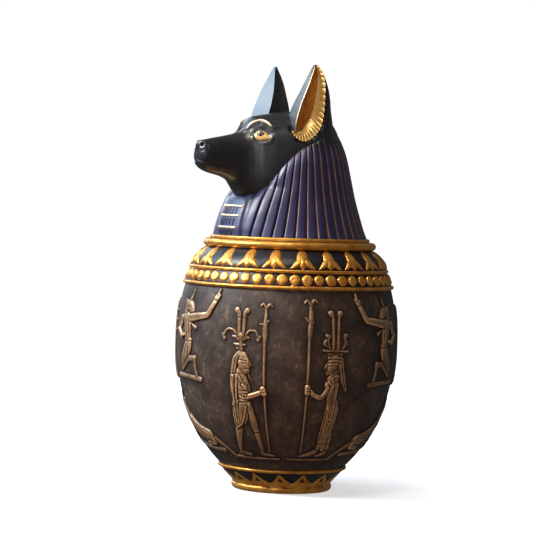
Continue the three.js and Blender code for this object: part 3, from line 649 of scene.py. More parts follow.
def kneeling_figure():
    low = [
        [(-87.4, 129.4, 3.2), (-82, 128.4, 4.0), (-77.8, 123.6, 2.6), (-75.4, 119.8, 1.3)],
        [(-84.2, 131, 1.8), (-82, 135, 1.2), (-80.4, 139.4, 0.6)],
        [(-88.6, 130.6, 1.4), (-92, 133, 0.7)],
        [(-87, 128, 3.4), (-88, 121, 3.0)],
        [(-87.6, 119.6, 4.6), (-83.6, 118.6, 5.6), (-83, 112, 4.6), (-81.6, 104, 3.8)],
        [(-80.6, 104, 3.8), (-83, 99, 5.2), (-88, 92.4, 4.0), (-92.4, 87.4, 2.0)],
        [(-92, 84.6, 1.8), (-86, 88.6, 2.0), (-79.6, 92.6, 2.2), (-74.2, 92.6, 2.1)],
        [(-73.4, 93, 2.2), (-73, 87, 1.6), (-71.6, 80.6, 1.5)],
        [(-77.6, 115.8, 1.0), (-73.2, 113.8, 1.6)],
        [(-100.5, 79.8, 1.7), (-84, 79.6, 1.7), (-67.6, 78.6, 2.0)],
    ]
    high = [
        [(-79, 120.6, 3.0), (-70, 122, 2.5), (-61.4, 123.4, 2.1), (-57.8, 128, 1.8), (-54.4, 133.4, 1.6)],
        [(-53.6, 135.4, 2.2), (-52.4, 137, 1.7)],
        [(-52.6, 137.6, 0.9), (-51.6, 141.2, 0.6)],
        [(-92.4, 119.6, 2.4), (-94.8, 115, 1.8)],
        [(-98.4, 111.6, 1.9), (-93, 107.4, 1.9)],
        [(-92.4, 107.6, 1.2), (-87.6, 108.4, 0.9)],
    ]
    cuts = [
        [(-86, 123, 0.5), (-83.4, 114, 0.5), (-82.4, 106, 0.5)],
        [(-81, 117.4, 0.5), (-80, 110, 0.4)],
        [(-89.6, 117, 0.5), (-86.4, 108, 0.4)],
        [(-84.6, 104.6, 0.5), (-77.4, 104.2, 0.5)],
        [(-82.6, 102, 0.45), (-87.6, 90, 0.45)],
        [(-79.8, 101, 0.45), (-81, 95.6, 0.45)],
        [(-84.8, 128.2, 0.5), (-82.8, 127.6, 0.5)],
    ]
    return {"low": low, "high": high, "cuts": cuts}


def lying_jackal():
    low = [
        [(-116.6, 59, 0.9), (-112, 60.8, 2.2), (-107.6, 61, 3.2), (-105, 56, 3.6), (-102, 49, 4.8)],
        [(-102, 49, 4.8), (-92, 43.4, 5.0), (-82, 40.4, 4.8), (-73, 38.6, 5.0)],
        [(-107.6, 63, 1.5), (-106, 69, 0.5)],
        [(-110.8, 63, 1.0), (-110.4, 67.6, 0.4)],
        [(-69.5, 38, 2.0), (-58, 32.6, 1.5), (-48.5, 26.4, 1.3)],
        [(-103.6, 47, 3.0), (-107, 39, 2.2), (-115.6, 35.4, 1.4)],
        [(-117, 33.6, 1.5), (-90, 30.8, 1.6), (-61, 29.6, 1.6)],
    ]
    high = [[(-79, 41, 2.0), (-70.5, 36, 2.8), (-80, 33.6, 1.4)]]
    cuts = [
        [(-90, 43, 0.5), (-80, 36, 0.5)],
        [(-96, 41, 0.5), (-88, 36, 0.5)],
        [(-66, 35, 0.5), (-54, 29, 0.5)],
    ]
    return {"low": low, "high": high, "cuts": cuts}


def pillar():
    bars = [[(-7.5, 124 - 7 * i, 1.6), (7.5, 124 - 7 * i, 1.6)] for i in range(3)]
    return {"low": [[(0, 129.5, 3.4), (0, 106, 3.0), (0, 80, 4.6)]] + bars}


def curved(drawing):
    """A drawing with the corners of its strokes rounded."""
    rounded = {}
    for kind, strokes in drawing.items():
        rounded[kind] = []
        for stroke in strokes:
            order = np.arange(len(stroke))[:, None]
            between = np.linspace(0, len(stroke) - 1, 4 * (len(stroke) - 1) + 1)
            knots = np.concatenate([order, np.array(stroke)], axis=1)
            rounded[kind].append(stroke if len(stroke) < 3 else fair_curve(between, knots).tolist())
    return rounded


# Height of relief that takes the full gold rubbing and painted highlight
FULL_RISE = 2.2
FIGURES = []
for turn in (0, 180):
    FIGURES.append(("man", curved(walking_man()), PAIR_ANGLE + turn, False))
    FIGURES.append(("woman", curved(standing_woman()), PAIR_ANGLE + turn, False))
    FIGURES.append(("pillar", pillar(), PAIR_ANGLE + turn + 90, False))
for mirror in (False, True):
    FIGURES.append(("kneeling", curved(kneeling_figure()), PAIR_ANGLE, mirror))
    FIGURES.append(("jackal", curved(lying_jackal()), PAIR_ANGLE, mirror))


def figure_pieces():
    counts = {}
    for name, drawing, centre, mirror in FIGURES:
        counts[name] = counts.get(name, 0) + 1
        step = NEAR_STEP if centre == PAIR_ANGLE else FAR_STEP
        place = on_turned(body_radius, centre, DRAWN_RADIUS)
        points, faces, (height, ridge) = relief_patch(drawing, place, step, mirror=mirror)
        piece(f"relief_{name}_{counts[name]}", points, faces, RELIEF_BRONZE,
              {"rise": height / FULL_RISE, "ridge": ridge}, sharp=80)


def nearness(points):
    """How near each body point is to a figure, 1 at its edge and 0 a few millimetres away; the body is
    darkened there as patina plus painted shade.
    """
    angle = np.degrees(np.arctan2(points[:, 0], -points[:, 1]))
    near = np.zeros(len(points))
    for _, drawing, centre, mirror in FIGURES:
        away = (angle - centre + 180) % 360 - 180
        s = np.radians(away) * DRAWN_RADIUS * (-1 if mirror else 1)
        low, high = extent(drawing, 6.0)
        z = points[:, 2]
        inside = (s > low[0]) & (s < high[0]) & (z > low[1]) & (z < high[1])
        if not inside.any():
            continue
        height = relief_height(drawing, s[inside], z[inside])
        distance = np.maximum(-height / 1.5, 0)
        near[inside] = np.maximum(near[inside], np.exp(-(distance / 2.2) ** 1.3))
    return near


def vessel():
    """The hollow body with its bands, walls and floor, in one turned surface."""
    body_z = BODY_Z + (SHOULDER_Z - BODY_Z) * np.linspace(0, 1, BODY_ROWS)
    band = np.linspace(0, 1, BAND_ROWS)
    leaf_z = LEAF_BAND_Z + LEAF_BAND_HEIGHT * band
    bead_z = BEAD_BAND_Z + BEAD_BAND_HEIGHT * band
    lotus_z = LOTUS_BAND_Z + LOTUS_BAND_HEIGHT * np.linspace(0, 1, LOTUS_ROWS)
    inside_z = BODY_Z + (SHOULDER_Z - BODY_Z) * np.linspace(1, 0, INSIDE_ROWS)
    foot_flat = FOOT_RADIUS - FOOT_ROLL_TUBE
    profile = np.concatenate([
        [[AXIS, 0], [foot_flat * 0.5, 0], [foot_flat, 0]],
        half_roll(foot_flat, FOOT_ROLL_TUBE, FOOT_ROLL_TUBE - UNDER_GOLD, 8)[1:-1],
        np.stack([leaf_radius(leaf_z), leaf_z], axis=-1),
        np.stack([body_radius(body_z), body_z], axis=-1),
        np.stack([bead_radius(bead_z), bead_z], axis=-1),
        np.stack([lotus_radius(lotus_z), lotus_z], axis=-1),
        half_roll(RIM_RADIUS, RIM_Z, RIM_TUBE - UNDER_GOLD, 10)[1:-1],
        [[MOUTH_RADIUS, JAR_TOP - 0.1], [MOUTH_RADIUS, NECK_Z]],
        [[lotus_radius(LOTUS_BAND_Z) - WALL, LOTUS_BAND_Z - WALL / 2]],
        np.stack([body_radius(inside_z) - WALL, inside_z], axis=-1),
        [[leaf_radius(FLOOR) - WALL, FLOOR], [AXIS, FLOOR]],
    ])
    flat = turned_points(profile, VESSEL_COLUMNS).reshape(-1, 3)
    faces = grid_faces(len(profile), VESSEL_COLUMNS, wrap=True)
    row_z = np.repeat(profile[:, 1], VESSEL_COLUMNS)
    on_body = (row_z >= BODY_Z - 0.1) & (row_z <= SHOULDER_Z + 0.1)
    near = np.zeros(len(flat))
    near[on_body] = nearness(flat[on_body])
    black = np.where(on_body, 0.0, 1.0)
    obj = piece("vessel", flat, faces, BRONZE, {"near": near, "black": black}, sharp=60)
    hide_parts("jar")


def uneven(angle, size, waves=(3, 5, 9, 14)):
    """Slow random rise and fall around a ring, as hand-finished castings show."""
    total = np.zeros_like(angle)
    for count in waves:
        total += np.cos(count * angle + rng.uniform(0, 2 * np.pi)) / len(waves)
    return size * total


def gold_ring(name, radius, z, tube, material=GOLD, wobble=0.12, bare=None):
    """Gold moulding that goes round the vessel, a torus whose inner side is in the wall."""
    angle = np.linspace(0, 2 * np.pi, RING_COLUMNS, endpoint=False)
    turn = np.linspace(0, 2 * np.pi, RING_SIDES, endpoint=False)[:, None]
    thick = tube + uneven(angle, wobble * 0.5)
    r = radius + thick * np.cos(turn)
    height = z + uneven(angle, wobble * 0.5) + thick * np.sin(turn)
    points = np.stack([r * np.sin(angle), -r * np.cos(angle), height], axis=-1)
    index = np.arange(RING_SIDES * RING_COLUMNS).reshape(RING_SIDES, RING_COLUMNS)
    up, right = np.roll(index, -1, axis=0), np.roll(index, -1, axis=1)
    both = np.roll(up, -1, axis=1)
    faces = np.stack([index, right, both, up], axis=-1).reshape(-1, 4)
    shades = {"bare": bare(points.reshape(-1, 3))} if bare else None
    piece(name, points, faces, material, shades, sharp=80)


def moulding(name, profile, wobble=0.08):
    """Gold moulding turned from a profile of (radius, z), a little uneven."""
    angle = np.linspace(0, 2 * np.pi, RING_COLUMNS, endpoint=False)
    swell = 1 + uneven(angle, wobble) / RIM_RADIUS
    points = turned_points(profile, RING_COLUMNS)
    points = points * np.stack([swell, swell, np.ones(RING_COLUMNS)], axis=-1)
    faces = grid_faces(len(profile), RING_COLUMNS, wrap=True)
    piece(name, points, faces, GOLD, sharp=60)


def foot_bare(points):
    """Where the gold of the foot is missing: the roll's uneven upper edge and one bitten place."""
    angle = np.arctan2(points[:, 0], -points[:, 1])
    edge = LEAF_BAND_Z - 0.9 + 0.5 * np.cos(LEAF_COUNT * (angle - math.radians(PAIR_ANGLE)) + 0.7)
    edge += 0.25 * np.cos(37 * angle + 1.2)
    top = clamp01((points[:, 2] - edge) / 0.35)
    bite_angle = math.radians(PAIR_ANGLE + 5.5)
    away = np.hypot((angle - bite_angle) * FOOT_RADIUS / 3.6, (points[:, 2] - LEAF_BAND_Z) / 1.5)
    return np.maximum(top, clamp01((1.15 - away) / 0.25))


def leaf_band():
    """Gold zigzag between dark leaves above the foot."""
    half = math.pi * BODY_FOOT_RADIUS / LEAF_COUNT
    patches = []
    for i in range(LEAF_COUNT):
        jitter = rng.uniform(-0.9, 0.9, 4)
        apex = LEAF_BAND_HEIGHT * 0.82 + 0.5 * jitter[3]
        zigzag = [(-half * 0.78, -0.2, 2.3), (-half * 0.5 + jitter[0], apex * 0.5, 1.4),
                  (-half * 0.22 + jitter[1], apex, 0.7), (half * 0.3 + jitter[2], apex * 0.45, 1.3),
                  (half * 0.86, -0.2, 2.2)]
        base = [(-half, 0.5, 1.7), (-half * 0.3, 0.6 + 0.4 * jitter[0], 2.2), (half, 0.3, 1.5)]
        place = on_turned(leaf_radius, PAIR_ANGLE + 360 * i / LEAF_COUNT, BODY_FOOT_RADIUS, LEAF_BAND_Z)
        patches.append(relief_patch({"low": [zigzag, base]}, place, BAND_STEP, tallest=0.8, sink=0.4))
    joined("leaf_band_gold", patches, FOOT_GOLD)


def beads():
    """Flattened, slightly uneven gold beads around the shoulder."""
    rows, columns = 7, 20
    q = np.linspace(1, 0, rows)[:, None]
    turn = np.linspace(0, 2 * np.pi, columns, endpoint=False)
    lean = math.atan2(SHOULDER_RADIUS - COLLAR_RADIUS, BEAD_BAND_HEIGHT)
    patches = []
    middle = BEAD_BAND_Z + BEAD_BAND_HEIGHT / 2
    for i in range(BEAD_COUNT):
        size = 1.08 * BEAD_RADIUS * (1 + rng.uniform(-0.06, 0.05))
        size = size * (1 + uneven(turn, 0.06, (2, 3, 4)))
        reach = q ** 0.85 * size
        rise = -0.5 + 1.7 * np.sqrt(np.maximum(1 - q ** 4.0, 0)) * (1 + uneven(turn, 0.05, (1, 2)))
        across = reach * np.cos(turn) * 0.97
        up = reach * np.sin(turn) + rng.uniform(-0.12, 0.12)
        angle = math.radians(PAIR_ANGLE + (i + 0.5) * 360 / BEAD_COUNT + rng.uniform(-0.15, 0.15))
        radius = float(bead_radius(middle)) + rise * math.cos(lean) - up * math.sin(lean)
        z = middle + up * math.cos(lean) + rise * math.sin(lean)
        points = np.stack([radius * math.sin(angle) + across * math.cos(angle),
                           -radius * math.cos(angle) + across * math.sin(angle), z], axis=-1)
        patches.append((points.reshape(-1, 3), grid_faces(rows, columns, wrap=True)))
    joined("bead_band_gold", patches, GOLD, 70)


def lotus_band():
    """Hanging lotus flowers below the rim, each a dome with three pointed petals."""
    patches = []
    for i in range(LOTUS_COUNT):
        j = rng.uniform(-0.25, 0.25, 4)
        drawing = {"low": [
            [(0, 9.1, 3.8), (0, 7.4, 4.1), (0, 5.2, 4.1)],
            [(0, 5.4, 2.4), (j[0], 2.8, 1.4), (j[0], 0.2, 0.4)],
            [(-1.6, 5.8, 2.5), (-3.9, 4.2, 2.0), (-5.9, 2.5, 1.3), (-8 + j[1], 1.0, 0.4)],
            [(1.6, 5.8, 2.5), (3.9, 4.2, 2.0), (5.9, 2.5, 1.3), (8 + j[2], 1.0, 0.4)],
        ], "cuts": [[(-1.3, 6.4, 0.4), (-2.6, 1.4, 0.6)], [(1.3, 6.4, 0.4), (2.6, 1.4, 0.6)]]}
        centre = PAIR_ANGLE + 360 * (i + 0.5) / LOTUS_COUNT + j[3]
        place = on_turned(lotus_radius, centre, COLLAR_RADIUS, LOTUS_BAND_Z)
        patches.append(relief_patch(drawing, place, BAND_STEP, tallest=1.3, sink=0.4))
    joined("lotus_band_gold", patches, GOLD)


def seam_mark():
    """Small casting seam on the ring under the beads."""
    drawing = {"low": [[(-0.2, -0.7, 0.35), (0.1, 0.3, 0.5), (0.4, 0.8, 0.35)]]}

    def ring_radius(z):
        return 0 * z + SHOULDER_RADIUS + BEAD_RING_TUBE + 0.2

    place = on_turned(ring_radius, PAIR_ANGLE + 2.2, SHOULDER_RADIUS, BEAD_RING_Z)
    points, faces, _ = relief_patch(drawing, place, 0.25, tallest=0.5, sink=1.2)
    piece("seam_mark", points, faces, GOLD)


# Wig and chest of the lid: outline at the back and sides, and over the chest, as (z, radius)
WIG_BACK = [
    (177.5, 53.9), (183.4, 51.5), (194.5, 47.9), (205.6, 44.6), (220.2, 41.2),
    (234.9, 37.6), (244.2, 33.9), (251.4, 29.6), (256, 24), (260, 16),
]
WIG_FRONT = [
    (177.5, 54.2), (182, 54), (188, 52.8), (193.5, 51.2),
    (199, 48.8), (203, 46.9), (207, 44), (212, 40),
]
# Upper edge of the wig as (degrees from the front, z), and how far its grooves lean by there
WIG_EDGE = [
    (0, 207.5), (12, 207.8), (19, 209.8), (27, 216), (33, 222), (40.5, 228), (49.5, 233.2),
    (57.5, 236.8), (68, 239.8), (84, 243.6), (93, 246), (120, 253.5), (150, 258), (180, 259),
]
GROOVE_LEAN = [(16, 4), (33, 8.6), (42, 8.7), (51, 7.7), (59, 5.8), (67, 3.9), (76, 1.6), (84, 0)]
EDGE_ROUNDING = 2.0
# Places across one stripe, closer together at its groove
STRIPE_ACROSS = [0, 0.035, 0.07, 0.105, 0.14, 0.2, 0.32, 0.5, 0.68, 0.8, 0.86, 0.91, 0.955]


def wig_radius(side, z):
    back = clamp01((side - 12) / 45)
    return mix(fair_curve(z, WIG_FRONT), fair_curve(z, WIG_BACK), back)


def wig():
    spacing = (180 - CHEST_ANGLE) / GROOVES_PER_SIDE
    bands = [CHEST_ANGLE + (i + np.array(STRIPE_ACROSS)) * spacing for i in range(GROOVES_PER_SIDE)]
    chest = CHEST_ANGLE * np.concatenate([np.linspace(0, 0.85, 10), [0.9, 0.95]])
    half = np.concatenate([chest, *bands, [180.0]])
    angles = np.concatenate([half, -half[1:-1][::-1]])
    side = np.abs(angles)
    sign = np.where(angles < 0, -1.0, 1.0)
    place = (side - CHEST_ANGLE) / spacing
    in_band = place - np.round(place)
    from_groove = np.abs(in_band)
    on_stripes = side > CHEST_ANGLE - 2.5
    border = np.where(np.abs(side - CHEST_ANGLE) < 3, 1.6, 1.0)
    cut = np.where(on_stripes, np.exp(-(from_groove / (0.075 * border)) ** 2), 0) * border ** 0.5
    crown = np.where(side > CHEST_ANGLE, np.sin(np.pi * (place % 1)) ** 0.8, 0)
    copper_side = (in_band > 0.03) & (in_band < 0.15)
    copper_line = np.where(on_stripes & copper_side, 1.0, 0.0) * clamp01((side - 40) / 25 + 0.25)
    copper_line = np.where(on_stripes & (from_groove < 0.03), 0.35 * clamp01((side - 60) / 25), copper_line)
    edge = fair_curve(side, WIG_EDGE)
    lean = np.where(side < CHEST_ANGLE, 0, fair_curve(side, GROOVE_LEAN))
    rows = np.linspace(0, 1, WIG_ROWS)[:, None]
    z = WIG_FOOT + (edge - WIG_FOOT) * rows
    turn = sign * np.radians(side + lean * rows)
    rounded = EDGE_ROUNDING * clamp01((rows - 0.8) / 0.2) ** 2.2 * clamp01((84 - side) / 24)
    fade = 1 - 0.3 * rows
    r = wig_radius(side + 0 * rows, z) - rounded - cut * GROOVE_DEPTH * fade + crown * 0.35 * fade
    shell = np.stack([r * np.sin(turn), -r * np.cos(turn), z], axis=-1)
    inward = []
    heart = np.stack([12 * np.sin(np.radians(sign * side)), 4 - 12 * np.cos(np.radians(sign * side)),
                      np.minimum(edge + 4, 256.5)], axis=-1)
    for t in (0.12, 0.3, 0.6, 1.0):
        step = mix(shell[-1], heart, t)
        step[:, 2] += 2.0 * math.sin(math.pi * min(t * 1.6, 1.0)) * clamp01((110 - side) / 20)
        inward.append(step)
    points = np.concatenate([shell, np.array(inward)])
    count = len(points)
    ear_black = clamp01((points[..., 2] - mix(231, 238, clamp01((side - 60) / 60))) / 8)
    ear_zone = clamp01((side - 62) / 8) * clamp01((150 - side) / 30)
    black = ear_black * ear_zone
    # Painted shade along each groove of the wig
    groove_shade_line = np.exp(-(from_groove / (0.055 * border)) ** 2) * on_stripes
    groove_shade = np.repeat(groove_shade_line[None], count, axis=0)
    copper = np.repeat(copper_line[None], count, axis=0) * (1 - black)
    groove_shade[WIG_ROWS:] = 0
    copper[WIG_ROWS:] = 0
    faces = grid_faces(count, len(angles), wrap=True)
    obj = piece("wig", points, faces, WIG,
                {"groove_shade": groove_shade, "copper": copper, "black": black}, sharp=75)
    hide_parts("lid")


def lid_base():
    """Plug, seat and thin gold lip under the wig."""
    edge = LIP_THICKNESS / 2
    plug_end, plug_top = SEAT_Z - PLUG_DEPTH, SEAT_Z + 1.9
    bevel = 0.8
    plug = [(AXIS, plug_end), (PLUG_RADIUS - bevel, plug_end), (PLUG_RADIUS, plug_end + bevel),
            (PLUG_RADIUS, SEAT_Z), (LIP_RADIUS - edge, SEAT_Z), (LIP_RADIUS - edge - 0.1, plug_top),
            (AXIS, plug_top)]
    points = turned_points(plug, PLUG_COLUMNS)
    faces = grid_faces(len(plug), PLUG_COLUMNS, wrap=True)
    piece("lid_plug", points, faces, DARK, sharp=30)
    corner = half_roll(LIP_RADIUS - edge, SEAT_Z + LIP_THICKNESS - edge, edge, 7, start=0)
    moulding("lid_lip", [(LIP_RADIUS - 0.9, SEAT_Z), (LIP_RADIUS, SEAT_Z + UNDER_GOLD), *corner,
                         (LIP_RADIUS - 4, SEAT_Z + 2.2)])


# Head: sections from the nose back as (y, half width, top, bottom, height of the widest)
HEAD_SECTIONS = [
    (-78.4, 4.6, 239.6, 227, 233), (-76.4, 7.0, 242.0, 223.4, 233.5), (-70, 8.8, 243.8, 220.6, 232.5),
    (-60, 10.2, 245.8, 218.4, 231), (-52.5, 11.4, 247.4, 215.2, 230), (-46.5, 12.8, 249.2, 207.6, 229),
    (-42.5, 15, 252, 203, 226), (-39.5, 17.2, 256.6, 200, 225), (-36, 20, 260, 198, 225),
    (-28, 25.2, 262, 196, 227), (-16, 30.4, 264, 196, 233), (-5, 33.2, 265.4, 196, 238),
    (7, 33.2, 266, 200, 240), (18, 28.5, 263, 205, 240), (29, 17, 255, 215, 238),
]
NOSE_TIP = np.array([0, -79.2, 233.2])
# Rows of points along the head: from y, to y, how many
HEAD_ROWS = [(HEAD_SECTIONS[0][0], -70, 22), (-69.5, -30, 90), (-29.4, HEAD_SECTIONS[-1][0], 110)]


def head_grid():
    stations = np.concatenate([np.linspace(*rows) for rows in HEAD_ROWS])
    values = fair_curve(stations, HEAD_SECTIONS)
    angle = np.linspace(0, 2 * np.pi, HEAD_COLUMNS, endpoint=False) + np.pi / HEAD_COLUMNS
    half, top, bottom, waist = (values[:, k:k + 1] for k in range(4))
    squareness = mix(0.8, 0.9, clamp01((stations + 60) / 40))[:, None]
    across = np.sign(np.cos(angle)) * np.abs(np.cos(angle)) ** squareness
    up = np.sign(np.sin(angle)) * np.abs(np.sin(angle)) ** squareness
    x = half * across
    z = waist + np.where(up > 0, top - waist, waist - bottom) * up
    y = stations[:, None] + 0 * x
    points = np.stack([x, y, z], axis=-1)
    tip = points[0]
    caps = []
    for shrink in (0.05, 0.25, 0.5, 0.72, 0.88):
        cap = NOSE_TIP + (tip - NOSE_TIP) * [shrink, 1, shrink]
        cap[:, 1] = mix(NOSE_TIP[1], stations[0], shrink ** 3)
        caps.append(cap)
    return np.concatenate([np.array(caps), points])


def grid_normals(points):
    along = np.gradient(points, axis=0)
    around = np.roll(points, -1, axis=1) - np.roll(points, 1, axis=1)
    normal = np.cross(along, around)
    normal /= np.linalg.norm(normal, axis=-1, keepdims=True) + 1e-9
    return normal


def path_distance(points, path):
    """Distance from each point to a path, and the place along the path from 0 to 1."""
    path = np.asarray(path, dtype=float)
    best = np.full(points.shape[:-1], 1e9)
    where = np.zeros(points.shape[:-1])
    count = len(path) - 1
    for k in range(count):
        a, d = path[k], path[k + 1] - path[k]
        t = clamp01(((points - a) @ d) / (d @ d))
        gap = np.linalg.norm(points - a - t[..., None] * d, axis=-1)
        where = np.where(gap < best, (k + t) / count, where)
        best = np.minimum(best, gap)
    return best, where


BROW = [
    (3.4, -45, 249.4), (5.4, -42, 252.6), (8.4, -39, 256.4),
    (11.4, -35.6, 258.4), (14.2, -32.2, 256.6), (17.2, -29.2, 253),
]
# Where the gold cup of an ear is sunk in the side of the head: its centre as y and z
EAR_CUP = (-10.5, 255.5)
EAR_CUP_RADIUS = 10.8
EAR_CUP_DEPTH = 22.0
MOUTH = [
    (0, -79, 229.4), (3.8, -77.6, 228.6), (7.2, -73.4, 227),
    (8.6, -66, 226), (9.8, -58, 225), (10.8, -52, 224.4),
]
LOWER_LIP = [(x, y, z - 1.6) for x, y, z in MOUTH]
NOSE_SPLIT = [(0, -79.5, 239.4), (0, -80, 230)]
NOSE_WING = [(6.4, -75.4, 239.6), (6.6, -74.6, 236.6), (4.6, -77.4, 235.2)]
TEMPLE = [(18.5, -28, 254.5), (22, -20, 257.5), (20, -14, 261)]
# Lines of the face as path, rise or cut, and half width
FACE_LINES = [
    (MOUTH, -0.75, 0.75), (LOWER_LIP, 0.45, 1.2), (NOSE_SPLIT, -0.9, 0.9),
    (NOSE_WING, -0.5, 0.8), (TEMPLE, 0.8, 2.2),
]
# Spots of the face as middle, stretch, rise or cut, and reach: nose, nostril and side of the muzzle
FACE_SPOTS = [
    ((2.6, -77.4, 240.4), (1.35, 1.1, 1.0), 1.3, 2.6),
    ((4.2, -77.6, 239.4), (1.0, 1.2, 0.85), -2.2, 1.35),
    ((7, -74, 232.5), (1, 1.6, 1.2), 0.9, 3.6),
]
EYE_MIDDLE = np.array([14.6, -35.4, 247.1])
EYE_ACROSS = np.array([0.62, 0.78, 0.0])
EYE_UP = np.array([-0.08, 0.06, 0.995])
EYE_OUT = np.cross(EYE_ACROSS, EYE_UP)
# Almond of the +X eye about its middle, as (across, up)
EYE_OUTLINE = [
    (-6.1, -0.3), (-5.0, 2.5), (-1.8, 3.9), (1.9, 2.8), (4.7, 0.4),
    (6.7, -2.3), (3.5, -3.3), (-0.6, -3.9), (-4.4, -2.8),
]


def head():
    points = head_grid()
    normal = grid_normals(points)
    folded = points.copy()
    folded[..., 0] = np.abs(folded[..., 0])
    push = np.zeros(points.shape[:-1])
    brow, along = path_distance(folded, BROW)
    push += 1.7 * np.exp(-(brow / 1.9) ** 2) * np.sin(np.pi * clamp01(along * 0.9 + 0.08)) ** 0.5
    away = folded - EYE_MIDDLE
    flat = np.stack([away @ EYE_ACROSS, away @ EYE_UP], axis=-1)
    socket = np.hypot(flat[..., 0] / 1.3, flat[..., 1]) + 4 * np.maximum(-(away @ EYE_OUT) - 5, 0)
    push -= 1.4 * np.exp(-(socket / 5.2) ** 4)
    lid = np.abs(np.hypot(flat[..., 0] / 1.45, flat[..., 1] + 0.6) - 4.6)
    lid_below = clamp01(0.6 - flat[..., 1] / 3) * (np.abs(away @ EYE_OUT) < 8)
    push += 1.0 * np.exp(-(lid / 0.9) ** 2) * lid_below
    for path, rise, width in FACE_LINES:
        push += rise * np.exp(-(path_distance(folded, path)[0] / width) ** 2)
    for middle, stretch, rise, reach in FACE_SPOTS:
        distance = np.linalg.norm((folded - np.array(middle)) / stretch, axis=-1)
        push += rise * np.exp(-(distance / reach) ** 2)
    points = points + normal * push[..., None]
    from_cup = np.hypot(points[..., 1] - EAR_CUP[0], points[..., 2] - EAR_CUP[1])
    in_cup = clamp01((EAR_CUP_RADIUS - from_cup) / 1.2)
    reach = np.abs(points[..., 0])
    points[..., 0] = np.sign(points[..., 0]) * mix(reach, np.minimum(reach, EAR_CUP_DEPTH), in_cup)
    faces = grid_faces(points.shape[0], points.shape[1], wrap=True)
    piece("head", points, faces, HEAD, sharp=80)
    return points.reshape(-1, 3)


def drape(points, surface, out):
    """Moves points along a direction onto the surface points that lie there."""
    points = np.asarray(points, dtype=float)
    out = np.asarray(out, dtype=float) / np.linalg.norm(out)
    laid = []
    for point in points:
        away = surface - point
        depth = away @ out
        beside = np.linalg.norm(away - depth[:, None] * out, axis=1) + 0.15 * np.abs(depth)
        nearest = np.argsort(beside)[:5]
        weight = 1 / (beside[nearest] + 0.05)
        laid.append(point + out * (depth[nearest] @ weight / weight.sum()))
    return np.array(laid)


def dome(outline, middle, out, steps=8, rounds=48):
    """Low dome over a closed outline of 3D points, crowned along the direction out."""
    outline = np.asarray(outline, dtype=float)
    count = len(outline)
    loop = np.concatenate([outline, outline[:1]])
    k = np.linspace(0, count, rounds, endpoint=False)
    i = k.astype(int)
    t = (k - i)[:, None]
    before, after = outline[(i - 1) % count], loop[(i + 2) % count]
    a, b = outline[i], loop[i + 1]
    ring = (a * (1 - t) + b * t) + 0.5 * t * (1 - t) * ((a - before) * (1 - t) + (b - after) * t)
    rows = []
    for q in np.linspace(1, 0.02, steps):
        rise = math.sqrt(max(1 - q ** 2.2, 0))
        rows.append(middle + (ring - middle) * q + np.asarray(out) * (rise - 0.25))
    return np.array(rows), grid_faces(steps, rounds, wrap=True)


# Discs painted on the eye as name, middle, radius, lift and paint
EYE_DISCS = [
    ("iris", (-1.5, 0.7), 2.5, 1.15, DARK), ("iris_rim", (-1.6, 0.75), 1.75, 1.45, EYE_GREY),
    ("pupil", (-1.4, 0.6), 1.1, 1.75, DARK), ("glint", (-2.3, 2.0), 0.95, 1.8, WHITE),
]


def eye_points(flat, lift=0.0):
    flat = np.asarray(flat, dtype=float)
    return EYE_MIDDLE + flat[:, :1] * EYE_ACROSS + flat[:, 1:] * EYE_UP + lift * EYE_OUT


def eyes(skin):
    near_side = skin[skin[:, 0] > 2]
    almond = drape(eye_points(EYE_OUTLINE), near_side, EYE_OUT)
    middle = almond.mean(axis=0) + 0.4 * EYE_OUT
    front = (middle - EYE_MIDDLE) @ EYE_OUT
    turn = np.linspace(0, 2 * np.pi, 12, endpoint=False)
    circle = np.stack([np.cos(turn), np.sin(turn)], axis=-1)
    parts = [("eye", almond, middle, 1.6, EYE_GOLD)]
    for label, centre, radius, lift, material in EYE_DISCS:
        rim = eye_points(np.array(centre) + radius * circle, front + lift - 0.4)
        parts.append((label, rim, rim.mean(axis=0), 0.45, material))
    for side, name in ((1, "left"), (-1, "right")):
        for label, rim, centre, crown, material in parts:
            points, faces = dome(rim, centre, EYE_OUT * crown)
            order = faces[:, ::-1] if side > 0 else faces
            piece(f"{label}_{name}", points * [side, 1, 1], order, material)


def tube(name, path, radius, material, sides=10, steps=48):
    """Round line along a smooth path, with tapered ends."""
    path = np.asarray(path, dtype=float)
    knots = np.concatenate([np.linspace(0, 1, len(path))[:, None], path], axis=1)
    t = np.linspace(0, 1, steps)
    centre = fair_curve(t, knots)
    along = np.gradient(centre, axis=0)
    along /= np.linalg.norm(along, axis=1, keepdims=True)
    out = centre * [1, 1, 0]
    out /= np.linalg.norm(out, axis=1, keepdims=True)
    across = np.cross(along, out)
    across /= np.linalg.norm(across, axis=1, keepdims=True)
    out = np.cross(across, along)
    taper = np.sqrt(clamp01(np.minimum(t, 1 - t) * 9) + 0.01) * radius
    turn = np.linspace(0, 2 * np.pi, sides, endpoint=False)
    cosine, sine = np.cos(turn)[None, :, None], np.sin(turn)[None, :, None]
    points = centre[:, None] + taper[:, None, None] * (cosine * across[:, None] + sine * out[:, None])
    piece(name, points, grid_faces(steps, sides, wrap=True), material)


